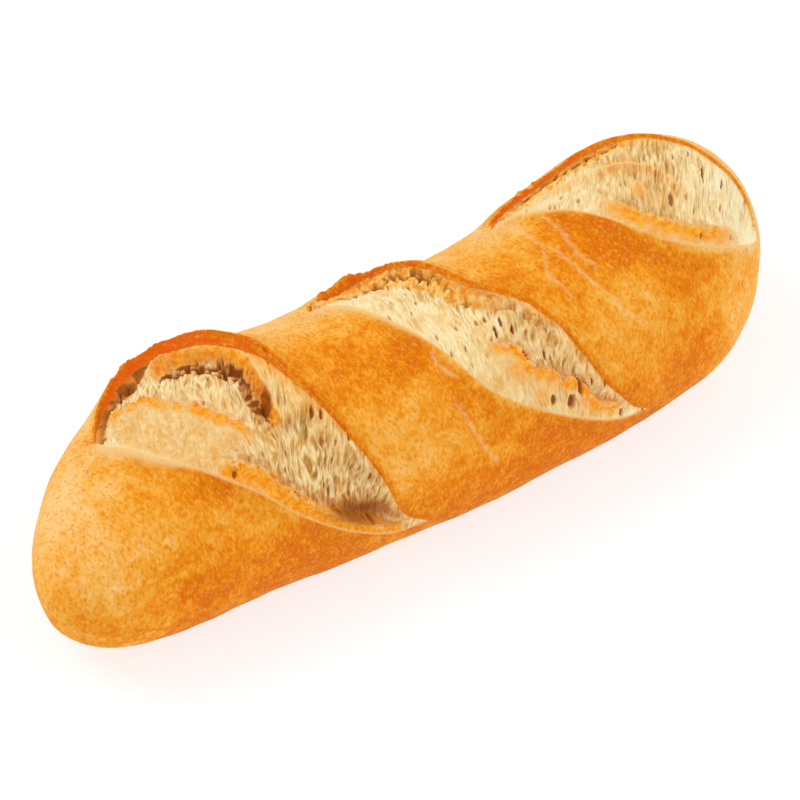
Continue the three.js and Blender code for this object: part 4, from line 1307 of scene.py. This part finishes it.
# The ways right and up in the picture and back towards the camera, from those level away from it and upright.
AWAY = np.array([np.sin(BEARING), np.cos(BEARING), 0])
UPRIGHT = np.array([0, 0, 1.0])
RIGHT = np.cross(AWAY, UPRIGHT)
UP = AWAY * np.sin(ELEVATION) + UPRIGHT * np.cos(ELEVATION)
BACK = UPRIGHT * np.sin(ELEVATION) - AWAY * np.cos(ELEVATION)
# Each light: name, way towards it as shares of right, up and back, strength, and spread in degrees.
SUNS = (
    ("key", (-0.62, 0.7, 0.5), 0.95, 30),
    ("fill", (0.9, 0.25, 0.35), 0.6, 40),
)


def stage_floor():
    """A white ground that glows a little by itself, so that the loaf's shadow on it stays faint."""
    mesh = bpy.data.meshes.new("floor")
    corners = [(x * FLOOR_HALF, y * FLOOR_HALF, 0) for x, y in ((-1, -1), (1, -1), (1, 1), (-1, 1))]
    mesh.from_pydata(corners, [], [(0, 1, 2, 3)])
    material = bpy.data.materials.new("white_paper")
    material.use_nodes = True
    shader = material.node_tree.nodes["Principled BSDF"]
    shader.inputs["Base Color"].default_value = linear("#9a9a9a")
    shader.inputs["Roughness"].default_value = 0.9
    shader.inputs["Specular IOR Level"].default_value = 0.1
    shader.inputs["Emission Color"].default_value = linear("#ffffff")
    shader.inputs["Emission Strength"].default_value = FLOOR_GLOW
    mesh.materials.append(material)
    floor = bpy.data.objects.new("floor", mesh)
    bpy.context.scene.collection.objects.link(floor)


def sun(name, way, strength, spread):
    """A far light. way is its direction in the picture: right, up and back towards the camera."""
    light = bpy.data.lights.new(name, "SUN")
    light.energy = strength
    light.angle = np.radians(spread)
    lamp = bpy.data.objects.new(name, light)
    towards = way[0] * RIGHT + way[1] * UP + way[2] * BACK
    lamp.rotation_euler = Vector(towards).to_track_quat("Z", "Y").to_euler()
    bpy.context.scene.collection.objects.link(lamp)


stage_floor()
world = bpy.data.worlds.new("studio")
world.use_nodes = True
world.node_tree.nodes["Background"].inputs["Color"].default_value = linear("#ffffff")
world.node_tree.nodes["Background"].inputs["Strength"].default_value = WORLD_LIGHT
bpy.context.scene.world = world
for name, way, strength, spread in SUNS:
    sun(name, way, strength, spread)

camera_data = bpy.data.cameras.new("camera")
camera_data.sensor_width = SENSOR
camera_data.lens = PIXELS_PER_METRE * CAMERA_DISTANCE * SENSOR / FRAME_WIDTH
camera_data.clip_start = 0.01
camera_data.clip_end = 50
camera = bpy.data.objects.new("camera", camera_data)
aim = np.array([0, -SIDE_SHIFT, AIM_HEIGHT]) * MM
aim = aim - (AIM_PIXELS[1] * UP + AIM_PIXELS[0] * RIGHT) / PIXELS_PER_METRE
turned = Matrix([list(row) for row in np.stack([RIGHT, UP, BACK], -1)]).to_4x4()
camera.matrix_world = Matrix.Translation(Vector(aim + BACK * CAMERA_DISTANCE)) @ turned
bpy.context.scene.collection.objects.link(camera)
bpy.context.scene.camera = camera
bpy.context.scene.view_settings.view_transform = "Standard"
bpy.context.scene.view_settings.look = "None"
